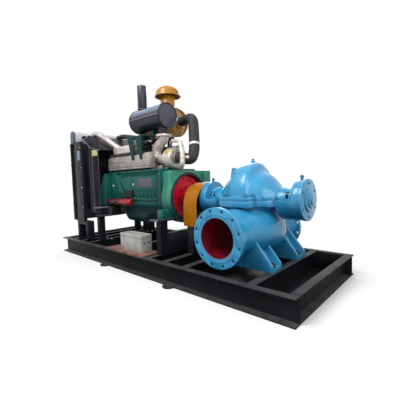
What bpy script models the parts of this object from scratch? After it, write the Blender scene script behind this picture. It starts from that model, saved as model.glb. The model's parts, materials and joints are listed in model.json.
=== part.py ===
"""Engine-driven split case pump set on a steel channel skid.

A horizontal double-suction pump with an axially split casing stands at the
+X end of the skid, and a six-cylinder engine with its radiator drives it
through a guarded coupling. Metres, +Z up. The origin is the centre of the
skid's underside, the shafts run along X and the suction flange faces -Y.
"""

import math

import bmesh
import bpy
from mathutils import Matrix, Vector

# Driving dimensions along the shafts, from the radiator's end to the pump's.
RADIATOR_SETBACK = 0.120
CORE_DEPTH = 0.120
FAN_SPACE = 0.460
ENGINE_LENGTH = 1.150
GUARD_SETBACK = 0.320
GUARD_LENGTH = 0.155
GUARD_TO_PUMP = 0.015
BEARING_REACH = 0.560
PUMP_SETBACK = 0.180

# Skid.
SKID_WIDTH = 1.400
CHANNEL_HEIGHT = 0.200
CHANNEL_FLANGE = 0.073
CHANNEL_WEB = 0.007
CHANNEL_FLANGE_THICKNESS = 0.011
ANCHOR_SPACING = 1.160
ANCHOR_RADIUS = 0.065
ANCHOR_HOLE = 0.022
ANCHOR_THICKNESS = 0.012

# Pump.
SHAFT_HEIGHT = 0.800
SUCTION_BORE = 0.350
SUCTION_FLANGE = 0.533
SUCTION_DROP = 0.302
SUCTION_REACH = 0.585
SUCTION_EDGE = 0.0285
DISCHARGE_BORE = 0.300
DISCHARGE_FLANGE = 0.483
DISCHARGE_DROP = 0.350
DISCHARGE_REACH = 0.600
DISCHARGE_EDGE = 0.0255
NOZZLE_FLANGE_THICKNESS = 0.040
NOZZLE_WALL = 0.030
FLANGE_HOLES = 12
FLANGE_HOLE = 0.029
VOLUTE_HEIGHT = 0.357
SPLIT_FLANGE_LOWER = 0.055
SPLIT_FLANGE_UPPER = 0.034
FOOT_REACH = 0.375
FOOT_EDGE = 0.055
FOOT_SHOULDER = 0.175
BEARING_RADIUS = 0.180
GLAND_RADIUS = 0.108
PUMP_SHAFT_RADIUS = 0.035

# Drive.
GUARD_RADIUS = 0.250
GUARD_DROP = 0.080
GUARD_SKIRT = 0.220
COUPLING_RADIUS = 0.154
FLYWHEEL_HOUSING_RADIUS = 0.310
FLYWHEEL_HOUSING_LENGTH = 0.170
HOUSING_WALL = 0.030
HOUSING_ADAPTER_LENGTH = 0.140
HOUSING_ADAPTER_TOP = 0.322

# Engine.
ENGINE_WIDTH = 0.540
CRANK_TO_SUMP_RAIL = 0.135
CRANK_TO_HEADS = 0.350
HEAD_HEIGHT = 0.260
HEAD_SETBACK = 0.360
COVER_SETBACK = 0.190
SUMP_DEPTH = 0.212
REAR_PLATE_DROP = 0.220
TIMING_CASE_WIDTH = 0.680
TIMING_CASE_DEPTH = 0.240
OIL_FILTER_RADIUS = 0.046
POST_REACH = 0.480

# Radiator.
RADIATOR_WIDTH = 1.100
RADIATOR_BASE = 0.460
BOTTOM_TANK_HEIGHT = 0.150
CORE_HEIGHT = 0.980
TOP_TANK_HEIGHT = 0.176
SIDE_FRAME_DEPTH = 0.330
SIDE_FRAME_WIDTH = 0.045
FAN_RING_RADIUS = 0.430
SHROUD_DEPTH = 0.180
CHARGE_PIPE_RADIUS = 0.040
GUARD_SHEET = 0.006

# Exhaust and air intake.
MUFFLER_RADIUS = 0.152
MUFFLER_LENGTH = 0.600
MUFFLER_RISE = 0.382
MUFFLER_Y = -0.100
STACK_RADIUS = 0.060
STACK_HEIGHT = 0.309
EXHAUST_RADIUS = 0.062
EXHAUST_FLANGE_RADIUS = 0.100
EXHAUST_FLANGE_THICKNESS = 0.022
TURBO_RISE = 0.125
TURBO_SETBACK = 0.110
TURBO_RADIUS = 0.122
TURBO_LENGTH = 0.200
INLET_RADIUS = 0.052
AIR_CLEANER_RADIUS = 0.190
AIR_CLEANER_LENGTH = 0.620
CLEANER_RISE = 0.380
CLEANER_Y = 0.265
CLEANER_NECK_RADIUS = 0.106
CLEANER_NECK_HEIGHT = 0.220
RAIN_CAP_RADIUS = 0.180
RAIN_CAP_SKIRT = 0.040
RAIN_CAP_HEIGHT = 0.110
HOSE_RADIUS = 0.065

# Side equipment.
BOARD_LENGTH = 0.725
BOARD_WIDTH = 0.245
BOARD_THICKNESS = 0.015
BATTERY_LENGTH = 0.400
BATTERY_WIDTH = 0.150
BATTERY_HEIGHT = 0.190

# Clearances.
SEAT_GAP = 0.0003
SHAFT_GAP = 0.0010
FLYWHEEL_GAP = 0.013

# Places that follow from the sizes above.
SKID_LENGTH = (RADIATOR_SETBACK + CORE_DEPTH + FAN_SPACE + ENGINE_LENGTH + GUARD_SETBACK + GUARD_LENGTH
               + GUARD_TO_PUMP + 2 * BEARING_REACH + PUMP_SETBACK)
CORE_FRONT = -SKID_LENGTH / 2 + RADIATOR_SETBACK
CORE_REAR = CORE_FRONT + CORE_DEPTH
BLOCK_FRONT = CORE_REAR + FAN_SPACE
ENGINE_REAR_X = BLOCK_FRONT + ENGINE_LENGTH
GUARD_START = ENGINE_REAR_X + GUARD_SETBACK
GUARD_END = GUARD_START + GUARD_LENGTH
PUMP_X = GUARD_END + GUARD_TO_PUMP + BEARING_REACH
DECK = CHANNEL_HEIGHT + SEAT_GAP
SPLIT = SHAFT_HEIGHT
SUCTION_HEIGHT = SHAFT_HEIGHT - SUCTION_DROP
DISCHARGE_HEIGHT = SHAFT_HEIGHT - DISCHARGE_DROP
BLOCK_BOTTOM = SHAFT_HEIGHT - CRANK_TO_SUMP_RAIL
BLOCK_TOP = SHAFT_HEIGHT + CRANK_TO_HEADS
HEAD_TOP = BLOCK_TOP + HEAD_HEIGHT
REAR_PLATE_TOP = SHAFT_HEIGHT - REAR_PLATE_DROP
HALF_ENGINE = ENGINE_WIDTH / 2
TURBO_Z = BLOCK_TOP + TURBO_RISE
MUFFLER_Z = HEAD_TOP + MUFFLER_RISE
CLEANER_Z = HEAD_TOP + CLEANER_RISE
CORE_BOTTOM = RADIATOR_BASE + 0.010 + BOTTOM_TANK_HEIGHT
CORE_TOP = CORE_BOTTOM + CORE_HEIGHT
TANK_TOP = CORE_TOP + TOP_TANK_HEIGHT
HALF_RADIATOR = RADIATOR_WIDTH / 2
CORE_HALF = HALF_RADIATOR - SIDE_FRAME_WIDTH - SEAT_GAP


def srgb(red, green, blue):
    """Turn an 8-bit screen colour into the linear colour a shader uses."""
    def linear(value):
        value = value / 255.0
        if value <= 0.04045:
            return value / 12.92
        return ((value + 0.055) / 1.055) ** 2.4
    return (linear(red), linear(green), linear(blue), 1.0)


PUMP_BLUE = (srgb(70, 155, 200), 0.38, 0.0)
ENGINE_GREEN = (srgb(22, 100, 84), 0.45, 0.0)
PALE_GREEN = (srgb(70, 150, 120), 0.45, 0.0)
DARK_GREEN = (srgb(10, 62, 55), 0.5, 0.0)
FLYWHEEL_RED = (srgb(185, 18, 34), 0.4, 0.0)
GUARD_YELLOW = (srgb(180, 112, 6), 0.45, 0.0)
CLEANER_GOLD = (srgb(196, 142, 48), 0.38, 0.1)
SKID_BLACK = (srgb(30, 30, 33), 0.5, 0.0)
SATIN_BLACK = (srgb(40, 38, 44), 0.45, 0.0)
RADIATOR_GREY = (srgb(60, 58, 65), 0.6, 0.2)
HOSE_BLACK = (srgb(46, 44, 52), 0.6, 0.0)
MUFFLER_GREY = (srgb(66, 66, 80), 0.35, 0.6)
CAST_SILVER = (srgb(188, 186, 182), 0.42, 0.6)
BRIGHT_STEEL = (srgb(150, 150, 152), 0.3, 1.0)
BOX_GREY = (srgb(166, 166, 160), 0.55, 0.0)
BOARD_BROWN = (srgb(140, 98, 76), 0.75, 0.0)
FILTER_RED = (srgb(150, 22, 30), 0.4, 0.0)


def clear_scene():
    """Remove whatever the file opened with."""
    for thing in list(bpy.data.objects):
        bpy.data.objects.remove(thing, do_unlink=True)


def finish(name, bm, paint, angle=35.0):
    """Turn a bmesh into a named object with its own painted material."""
    bmesh.ops.remove_doubles(bm, verts=bm.verts, dist=0.00001)
    bmesh.ops.recalc_face_normals(bm, faces=bm.faces)
    mesh = bpy.data.meshes.new(name)
    bm.to_mesh(mesh)
    bm.free()
    thing = bpy.data.objects.new(name, mesh)
    bpy.context.scene.collection.objects.link(thing)
    colour, roughness, metallic = paint
    coat = bpy.data.materials.new(name)
    coat.use_nodes = True
    shader = coat.node_tree.nodes["Principled BSDF"]
    shader.inputs["Base Color"].default_value = colour
    shader.inputs["Roughness"].default_value = roughness
    shader.inputs["Metallic"].default_value = metallic
    mesh.materials.append(coat)
    mesh.shade_smooth()
    mesh.set_sharp_from_angle(angle=math.radians(angle))
    return thing


def loft(name, rings, paint, closed=False):
    """Skin a stack of equal rings; the two ends are capped unless closed."""
    bm = bmesh.new()
    rows = [[bm.verts.new(point) for point in ring] for ring in rings]
    count = len(rows[0])
    pairs = list(zip(rows, rows[1:]))
    if closed:
        pairs.append((rows[-1], rows[0]))
    for lower, upper in pairs:
        for index in range(count):
            after = (index + 1) % count
            bm.faces.new((lower[index], lower[after], upper[after], upper[index]))
    if not closed:
        bm.faces.new(list(reversed(rows[0])))
        bm.faces.new(rows[-1])
    return finish(name, bm, paint)


def block(name, low, high, paint):
    """A plain box between two corners."""
    ring = [(low[0], low[1]), (high[0], low[1]), (high[0], high[1]), (low[0], high[1])]
    return loft(name, [[(x, y, z) for x, y in ring] for z in (low[2], high[2])], paint)


def side_block(name, side, x, reach, z, paint):
    """A box on one side of the middle plane: x, distance from the middle and z as (low, high)."""
    ends = sorted((side * reach[0], side * reach[1]))
    return block(name, (x[0], ends[0], z[0]), (x[1], ends[1], z[1]), paint)


def prism(name, outline, axis, start, end, paint):
    """Extrude a flat outline along X, Y or Z."""
    def place(point, along):
        if axis == "x":
            return (along, point[0], point[1])
        if axis == "y":
            return (point[0], along, point[1])
        return (point[0], point[1], along)
    return loft(name, [[place(p, along) for p in outline] for along in (start, end)], paint)


def turned(name, profile, centre, axis, paint, steps=40, sweep_profile_closed=False):
    """Turn (along, radius) points about an axis through centre.

    An open profile starts and ends at a small or zero radius and is capped;
    a closed one makes a tube.
    """
    base = Vector(centre)
    along_axis = {"x": Vector((1, 0, 0)), "y": Vector((0, 1, 0)), "z": Vector((0, 0, 1))}[axis]
    side = {"x": Vector((0, 1, 0)), "y": Vector((0, 0, 1)), "z": Vector((1, 0, 0))}[axis]
    up = along_axis.cross(side)
    rings = []
    for along, radius in profile:
        radius = max(radius, 0.0)
        ring = []
        for index in range(steps):
            turn = 2.0 * math.pi * index / steps
            offset = side * math.cos(turn) + up * math.sin(turn)
            ring.append(base + along_axis * along + offset * radius)
        rings.append(ring)
    return loft(name, rings, paint, closed=sweep_profile_closed)


def smoothed(points, radius, steps=5):
    """Round every inner corner of a route with an arc-like blend."""
    route = [Vector(p) for p in points]
    result = [route[0]]
    for before, corner, after in zip(route, route[1:], route[2:]):
        inward = (before - corner)
        outward = (after - corner)
        trim = min(radius, inward.length * 0.49, outward.length * 0.49)
        start = corner + inward.normalized() * trim
        end = corner + outward.normalized() * trim
        for index in range(steps + 1):
            t = index / steps
            result.append(start * (1 - t) ** 2 + corner * 2 * t * (1 - t) + end * t * t)
    result.append(route[-1])
    return result


def bowed(start, first, second, end, steps=7):
    """Points along a cubic curve that leaves start towards first and reaches end from second."""
    start, first, second, end = Vector(start), Vector(first), Vector(second), Vector(end)
    points = []
    for index in range(steps + 1):
        t = index / steps
        rest = 1 - t
        near = start * rest ** 3 + first * 3 * rest ** 2 * t
        points.append(near + second * 3 * rest * t ** 2 + end * t ** 3)
    return points


def swept(name, route, radius, paint, sides=14):
    """A round bar along a smooth route of points."""
    tangent = (route[1] - route[0]).normalized()
    helper = Vector((0, 0, 1)) if abs(tangent.z) < 0.9 else Vector((0, 1, 0))
    side = tangent.cross(helper).normalized()
    rings = []
    for index, point in enumerate(route):
        if index == 0:
            direction = route[1] - route[0]
        elif index == len(route) - 1:
            direction = route[-1] - route[-2]
        else:
            direction = (route[index + 1] - point).normalized() + (point - route[index - 1]).normalized()
        direction = direction.normalized()
        side = (side - direction * side.dot(direction)).normalized()
        up = direction.cross(side)
        ring = []
        for step in range(sides):
            turn = 2.0 * math.pi * step / sides
            ring.append(point + (side * math.cos(turn) + up * math.sin(turn)) * radius)
        rings.append(ring)
    return loft(name, rings, paint)


def combine(target, tool, operation):
    """Apply an exact Boolean to target and drop the tool."""
    modifier = target.modifiers.new("combine", "BOOLEAN")
    modifier.operation = operation
    modifier.solver = "EXACT"
    modifier.object = tool
    bpy.context.view_layer.update()
    graph = bpy.context.evaluated_depsgraph_get()
    mesh = bpy.data.meshes.new_from_object(target.evaluated_get(graph))
    target.modifiers.clear()
    target.data = mesh
    bpy.data.objects.remove(tool, do_unlink=True)
    mesh.shade_smooth()
    mesh.set_sharp_from_angle(angle=math.radians(35.0))
    return target


def fuse(target, *tools):
    """Join closed shapes that meet into one body."""
    for tool in tools:
        combine(target, tool, "UNION")
    return target


def cut(target, *tools):
    """Take closed shapes away from one body."""
    for tool in tools:
        combine(target, tool, "DIFFERENCE")
    return target


def channel_outline(height, flange, facing):
    """A rolled channel's section; facing is +1 or -1, the way its flanges point."""
    web = CHANNEL_WEB
    thick = CHANNEL_FLANGE_THICKNESS
    points = [
        (0.0, 0.0), (flange, 0.0), (flange, thick * 0.8), (web, thick * 1.15),
        (web, height - thick * 1.15), (flange, height - thick * 0.8), (flange, height), (0.0, height),
    ]
    return [(facing * across, up) for across, up in points]


# Skid: two long channels, two end channels and the cross-members between them.

WEB_Y = SKID_WIDTH / 2 - CHANNEL_FLANGE
WEB_X = SKID_LENGTH / 2 - CHANNEL_FLANGE
CROSS_MEMBERS = {
    "cross_radiator_front": CORE_FRONT + 0.080,
    "cross_radiator_rear": CORE_REAR + 0.200,
    "cross_engine_front": BLOCK_FRONT - 0.040,
    "cross_engine_middle": ENGINE_REAR_X - 0.480,
    "cross_engine_rear": ENGINE_REAR_X + 0.120,
    "cross_guard": GUARD_START + 0.050,
    "cross_pump_inner": PUMP_X - FOOT_REACH - 0.015,
    "cross_pump_outer": PUMP_X + FOOT_REACH - 0.050,
}


def anchor_ear(x, side):
    """Half-round plate on the rail's lower flange, with its anchor hole."""
    edge = SKID_WIDTH / 2
    radius = ANCHOR_RADIUS
    outline = [(x + radius, side * (edge - 0.035)), (x + radius, side * edge)]
    for index in range(1, 12):
        turn = math.pi * index / 12
        outline.append((x + radius * math.cos(turn), side * (edge + radius * math.sin(turn))))
    outline += [(x - radius, side * edge), (x - radius, side * (edge - 0.035))]
    ear = prism("ear", outline, "z", 0.0, ANCHOR_THICKNESS, SKID_BLACK)
    hole = turned("hole", [(-0.01, ANCHOR_HOLE / 2), (ANCHOR_THICKNESS + 0.01, ANCHOR_HOLE / 2)],
                  (x, side * (edge + radius * 0.54), 0.0), "z", SKID_BLACK, steps=12)
    return cut(ear, hole)


def build_skid():
    for name, side in (("rail_near", -1), ("rail_far", 1)):
        outline = [(side * (WEB_Y + y), z) for y, z in channel_outline(CHANNEL_HEIGHT, CHANNEL_FLANGE, 1)]
        rail = prism(name, outline, "x", -SKID_LENGTH / 2, SKID_LENGTH / 2, SKID_BLACK)
        for x in (-ANCHOR_SPACING / 2, ANCHOR_SPACING / 2):
            fuse(rail, anchor_ear(x, side))
    reach = WEB_Y - SEAT_GAP
    for name, side in (("end_beam_radiator", -1), ("end_beam_pump", 1)):
        outline = [(side * (WEB_X + x), z) for x, z in channel_outline(CHANNEL_HEIGHT, CHANNEL_FLANGE, 1)]
        prism(name, outline, "y", -reach, reach, SKID_BLACK)
    for name, x in CROSS_MEMBERS.items():
        outline = [(x + across, z) for across, z in channel_outline(CHANNEL_HEIGHT, CHANNEL_FLANGE, 1)]
        prism(name, outline, "y", -reach, reach, SKID_BLACK)


# Pump.

FOOT_PLACES = ((-0.320, -0.150), (0.180, 0.370))


def split_flange_outline(grow=0.0):
    """Plan of the split flange: a cross with a wide middle over the volute."""
    long_x = 0.320 + grow
    mid_x = 0.185 + grow
    side_y = 0.200 + grow
    mid_y = 0.335 + grow
    slope = 0.03
    quarter = [
        (long_x, side_y - 0.05), (long_x - 0.05, side_y), (mid_x + slope, side_y),
        (mid_x, side_y + slope), (mid_x, mid_y - slope), (mid_x - slope, mid_y),
    ]
    second = [(-x, y) for x, y in reversed(quarter)]
    upper = quarter + second
    lower = [(-x, -y) for x, y in upper]
    return [(PUMP_X + x, y) for x, y in upper + lower]


def volute_rings(direction, parts=24):
    """Arched sections along X of the volute and the suction bulges beside it."""
    stations = [
        (0.000, 0.290, 1.000), (0.045, 0.290, 0.995), (0.072, 0.287, 0.975), (0.088, 0.280, 0.925),
        (0.098, 0.268, 0.840), (0.110, 0.256, 0.760), (0.130, 0.245, 0.720), (0.165, 0.232, 0.680),
        (0.205, 0.212, 0.605), (0.240, 0.186, 0.505), (0.270, 0.156, 0.405), (0.295, 0.130, 0.335),
        (0.312, 0.120, 0.315), (0.319, 0.118, 0.308),
    ]
    half = stations[1:]
    ordered = [(-x, y, h) for x, y, h in reversed(half)] + [stations[0]] + half
    rings = []
    for x, half_y, share in ordered:
        ring = []
        height = VOLUTE_HEIGHT * share
        for index in range(parts + 1):
            turn = math.pi * index / parts
            across = -math.cos(turn)
            rise = math.sin(turn) ** 0.92
            ring.append((PUMP_X + x, half_y * across, SPLIT + direction * height * rise))
        rings.append(ring)
    return rings


def nozzle_body_rings():
    """Rounded sections along Y from the suction nozzle to the discharge nozzle."""
    suction = SUCTION_HEIGHT
    discharge = DISCHARGE_HEIGHT
    wide = SUCTION_BORE / 2 + NOZZLE_WALL
    slim = DISCHARGE_BORE / 2 + NOZZLE_WALL
    stations = [
        (-SUCTION_REACH + 0.02, wide, suction - wide, suction + wide, 2.0),
        (-0.440, wide + 0.001, suction - wide - 0.002, suction + wide + 0.002, 2.0),
        (-0.360, 0.216, suction - 0.214, suction + 0.222, 2.0),
        (-0.280, 0.246, suction - 0.221, suction + 0.240, 2.1),
        (-0.180, 0.290, suction - 0.226, suction + 0.255, 2.2),
        (-0.060, 0.315, suction - 0.229, suction + 0.262, 2.3),
        (0.060, 0.310, suction - 0.230, suction + 0.258, 2.3),
        (0.160, 0.280, suction - 0.229, suction + 0.235, 2.2),
        (0.250, 0.235, suction - 0.226, suction + 0.190, 2.1),
        (0.340, slim + 0.018, discharge - slim - 0.004, discharge + slim + 0.010, 2.0),
        (0.440, slim + 0.001, discharge - slim - 0.001, discharge + slim + 0.001, 2.0),
        (DISCHARGE_REACH - 0.02, slim, discharge - slim, discharge + slim, 2.0),
    ]
    rings = []
    for y, half_x, low, high, power in stations:
        ring = []
        for index in range(36):
            turn = 2.0 * math.pi * index / 36
            cosine = math.cos(turn)
            sine = math.sin(turn)
            across = math.copysign(abs(cosine) ** (2.0 / power), cosine)
            rise = math.copysign(abs(sine) ** (2.0 / power), sine)
            ring.append((PUMP_X + half_x * across, y, (low + high) / 2 + (high - low) / 2 * rise))
        rings.append(ring)
    return rings


def build_foot(name, low_y, high_y):
    """A webbed foot: two outer ribs and a set-back slope between them."""
    base = DECK
    top = SUCTION_HEIGHT + 0.002
    rib = 0.022
    outline = [
        (-FOOT_REACH, base), (FOOT_REACH, base), (FOOT_REACH, base + FOOT_EDGE),
        (FOOT_SHOULDER, top), (-FOOT_SHOULDER, top), (-FOOT_REACH, base + FOOT_EDGE),
    ]
    outline = [(PUMP_X + x, z) for x, z in outline]
    foot = prism(name, outline, "y", low_y, high_y, PUMP_BLUE)
    floor = base + FOOT_EDGE / 2
    outside = FOOT_REACH + 0.020
    inside = FOOT_SHOULDER - 0.015
    for side in (-1, 1):
        pocket = [
            (outside, floor), (outside, top + 0.060), (inside, top + 0.060), (inside, top - 0.040),
            (FOOT_REACH - 0.085, floor),
        ]
        pocket = [(PUMP_X + side * x, z) for x, z in pocket]
        cut(foot, prism("pocket", pocket, "y", low_y + rib, high_y - rib, PUMP_BLUE))
    return foot


def nozzle_flange(name, height, reach, diameter, bolt_circle, side):
    """A nozzle flange standing across Y, flat behind where its nuts seat."""
    radius = diameter / 2
    thick = NOZZLE_FLANGE_THICKNESS
    hub = bolt_circle / 2 - FLANGE_HOLE / 2 - 0.008
    profile = [
        (0.0, radius * 0.80), (0.0, radius - 0.003), (side * -0.003, radius),
        (side * -thick, radius), (side * -(thick + 0.001), radius - 0.001), (side * -(thick + 0.001), hub),
        (side * -(thick + 0.012), hub - 0.007), (side * -(thick + 0.05), hub - 0.010),
    ]
    return turned(name, profile, (PUMP_X, side * reach, height), "y", PUMP_BLUE, steps=40)


def drill(casing, height, reach, bolt_circle, side):
    """Drill the ring of bolt holes through one nozzle flange."""
    for index in range(FLANGE_HOLES):
        turn = 2.0 * math.pi * (index + 0.5) / FLANGE_HOLES
        x = PUMP_X + bolt_circle / 2 * math.cos(turn)
        z = height + bolt_circle / 2 * math.sin(turn)
        ends = [(side * 0.01, FLANGE_HOLE / 2), (side * -(NOZZLE_FLANGE_THICKNESS + 0.01), FLANGE_HOLE / 2)]
        cut(casing, turned("hole", ends, (x, side * reach, z), "y", PUMP_BLUE, steps=10))


def build_lower_casing():
    casing = loft("casing_lower", nozzle_body_rings(), PUMP_BLUE)
    feet = [build_foot("foot", low, high) for low, high in FOOT_PLACES]
    fuse(casing, *feet)
    lower_dome = loft("lower_dome", volute_rings(-0.80, 12), PUMP_BLUE)
    fuse(casing, lower_dome)
    suction_circle = SUCTION_FLANGE - 2 * SUCTION_EDGE
    discharge_circle = DISCHARGE_FLANGE - 2 * DISCHARGE_EDGE
    fuse(casing, nozzle_flange("suction_flange", SUCTION_HEIGHT, SUCTION_REACH, SUCTION_FLANGE,
                               suction_circle, -1))
    fuse(casing, nozzle_flange("discharge_flange", DISCHARGE_HEIGHT, DISCHARGE_REACH, DISCHARGE_FLANGE,
                               discharge_circle, 1))
    face = SPLIT - SEAT_GAP / 2
    fuse(casing, prism("plate", split_flange_outline(), "z", SPLIT - SPLIT_FLANGE_LOWER, face, PUMP_BLUE))
    cut(casing, block("above", (PUMP_X - 0.5, -0.5, face), (PUMP_X + 0.5, 0.5, SPLIT + 0.5), PUMP_BLUE))
    for side in (-1, 1):
        low = PUMP_X + side * 0.320
        high = PUMP_X + side * 0.420
        cut(casing, block("end", (min(low, high), -0.3, SPLIT - 0.17), (max(low, high), 0.3, SPLIT + 0.1),
                          PUMP_BLUE))
    radius = SUCTION_BORE / 2
    suction = [(-0.05, radius), (0.34, radius), (0.43, radius * 0.72)]
    cut(casing, turned("suction_bore", suction, (PUMP_X, -SUCTION_REACH, SUCTION_HEIGHT), "y",
                       PUMP_BLUE, steps=44))
    radius = DISCHARGE_BORE / 2
    discharge = [(-0.36, radius * 0.80), (-0.26, radius), (0.05, radius)]
    cut(casing, turned("discharge_bore", discharge, (PUMP_X, DISCHARGE_REACH, DISCHARGE_HEIGHT), "y",
                       PUMP_BLUE, steps=36))
    cut(casing, shaft_tunnel(PUMP_SHAFT_RADIUS + SHAFT_GAP))
    drill(casing, SUCTION_HEIGHT, SUCTION_REACH, suction_circle, -1)
    drill(casing, DISCHARGE_HEIGHT, DISCHARGE_REACH, discharge_circle, 1)
    return casing


def shaft_tunnel(radius):
    """A cutter on the pump's shaft line."""
    centre = (PUMP_X, 0.0, SHAFT_HEIGHT)
    return turned("tunnel", [(-0.9, radius), (0.9, radius)], centre, "x", PUMP_BLUE, steps=24)


GLAND_END = 0.385


def lifting_lug(side):
    """Rounded ear with a hole, standing on the shoulder beside the volute."""
    x = PUMP_X - 0.130
    y = side * 0.120
    low = SPLIT + VOLUTE_HEIGHT * 0.50
    eye = SPLIT + VOLUTE_HEIGHT * 0.80
    outline = [(x - 0.045, low), (x + 0.045, low)]
    for index in range(9):
        turn = math.pi * index / 8
        outline.append((x + 0.027 * math.cos(turn), eye + 0.027 * math.sin(turn)))
    lug = prism("lug", outline, "y", y - 0.011, y + 0.011, PUMP_BLUE)
    hole = turned("hole", [(-0.03, 0.012), (0.03, 0.012)], (x, y, eye), "y", PUMP_BLUE, steps=10)
    return cut(lug, hole)


def build_upper_casing():
    casing = loft("casing_upper", volute_rings(1.0), PUMP_BLUE)
    face = SPLIT + SEAT_GAP / 2
    fuse(casing, prism("plate", split_flange_outline(), "z", face, SPLIT + SPLIT_FLANGE_UPPER, PUMP_BLUE))
    for side in (-1, 1):
        gland = turned("gland", [(0.28, GLAND_RADIUS), (GLAND_END, GLAND_RADIUS)], (PUMP_X, 0.0, SPLIT), "x",
                       PUMP_BLUE, steps=32)
        if side < 0:
            mirror(gland)
        fuse(casing, gland, lifting_lug(side))
    top = SPLIT + VOLUTE_HEIGHT
    boss = [(top - 0.030, 0.024), (top + 0.012, 0.024), (top + 0.012, 0.013), (top + 0.028, 0.013)]
    fuse(casing, turned("vent_boss", boss, (PUMP_X + 0.010, 0.0, 0.0), "z", PUMP_BLUE, steps=16))
    cut(casing, block("below", (PUMP_X - 0.5, -0.5, SPLIT - 0.5), (PUMP_X + 0.5, 0.5, face), PUMP_BLUE))
    cut(casing, shaft_tunnel(PUMP_SHAFT_RADIUS + SHAFT_GAP))
    return casing


def mirror(thing):
    """Mirror a shape across the pump's middle plane."""
    there = Matrix.Translation((PUMP_X, 0, 0))
    back = Matrix.Translation((-PUMP_X, 0, 0))
    thing.data.transform(there @ Matrix.Diagonal((-1, 1, 1, 1)) @ back)
    thing.data.flip_normals()


def build_bearing_bracket(name, side):
    """Half-round trough with its bearing housing and a windowed arch over the gland."""
    start = 0.3205
    housing = BEARING_REACH - 0.090
    arch_start = GLAND_END + 2 * SEAT_GAP
    windows = ((arch_start + 0.008, housing - 0.046), (housing - 0.034, housing - 0.008))
    shell = turned(name, [(start, BEARING_RADIUS - 0.012), (start + 0.02, BEARING_RADIUS),
                          (BEARING_REACH - 0.03, BEARING_RADIUS)],
                   (PUMP_X, 0.0, SPLIT), "x", PUMP_BLUE, steps=32)
    cut(shell, block("roof", (PUMP_X + start - 0.1, -0.3, SPLIT - SEAT_GAP),
                     (PUMP_X + housing, 0.3, SPLIT + 0.4), PUMP_BLUE))
    hollow = BEARING_RADIUS - 0.030
    for low, high in windows:
        well = turned("well", [(low, hollow), (high, hollow)], (PUMP_X, 0.0, SPLIT), "x", PUMP_BLUE, steps=28)
        cut(shell, well)
    arch = turned("arch", [(arch_start, GLAND_RADIUS + 0.010), (housing + 0.010, GLAND_RADIUS + 0.010)],
                  (PUMP_X, 0.0, SPLIT), "x", PUMP_BLUE, steps=28)
    cut(arch, block("under", (PUMP_X, -0.2, SPLIT - 0.2), (PUMP_X + BEARING_REACH, 0.2, SPLIT - 0.003),
                    PUMP_BLUE))
    for low, high in windows:
        cut(arch, block("window", (PUMP_X + low, -0.2, SPLIT + 0.015), (PUMP_X + high, 0.2, SPLIT + 0.075),
                        PUMP_BLUE))
    fuse(shell, arch)
    cut(shell, shaft_tunnel(PUMP_SHAFT_RADIUS + SHAFT_GAP))
    if side < 0:
        mirror(shell)
    return shell


def build_bearing_cap(name, side):
    """Round end cover with stepped hub rings."""
    start = BEARING_REACH - 0.03 + SEAT_GAP
    rim = BEARING_RADIUS + 0.004
    profile = [
        (start, rim), (start + 0.028, rim), (start + 0.031, rim - 0.008), (start + 0.031, 0.108),
        (start + 0.046, 0.104), (start + 0.046, 0.072), (start + 0.058, 0.069), (start + 0.058, 0.045),
        (start + 0.070, 0.042),
    ]
    if side < 0:
        profile = [(along, radius) for along, radius in profile if along < start + 0.040]
    cap = turned(name, profile, (PUMP_X, 0.0, SPLIT), "x", PUMP_BLUE, steps=32)
    if side < 0:
        cut(cap, shaft_tunnel(PUMP_SHAFT_RADIUS + SHAFT_GAP))
        mirror(cap)
    return cap


def build_guard():
    """Arched sheet over the coupling, and the black stand that carries it."""
    centre = SHAFT_HEIGHT - GUARD_DROP
    bottom = centre - GUARD_SKIRT
    sheet = 0.004
    outer = [(-GUARD_RADIUS, bottom)]
    inner = [(-GUARD_RADIUS + sheet, bottom)]
    inside = GUARD_RADIUS - sheet
    for index in range(25):
        turn = math.pi - math.pi * index / 24
        outer.append((GUARD_RADIUS * math.cos(turn), centre + GUARD_RADIUS * math.sin(turn)))
        inner.append((inside * math.cos(turn), centre + inside * math.sin(turn)))
    outer.append((GUARD_RADIUS, bottom))
    inner.append((GUARD_RADIUS - sheet, bottom))
    prism("coupling_guard", outer + list(reversed(inner)), "x", GUARD_START, GUARD_END, GUARD_YELLOW)
    side = GUARD_RADIUS
    top = bottom - SEAT_GAP
    outline = [
        (-side, DECK), (side, DECK), (side, top), (side - 0.07, top), (side - 0.07, DECK + 0.06),
        (-side + 0.07, DECK + 0.06), (-side + 0.07, top), (-side, top),
    ]
    prism("guard_stand", outline, "x", GUARD_START + 0.050, GUARD_END - 0.025, SATIN_BLACK)


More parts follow.
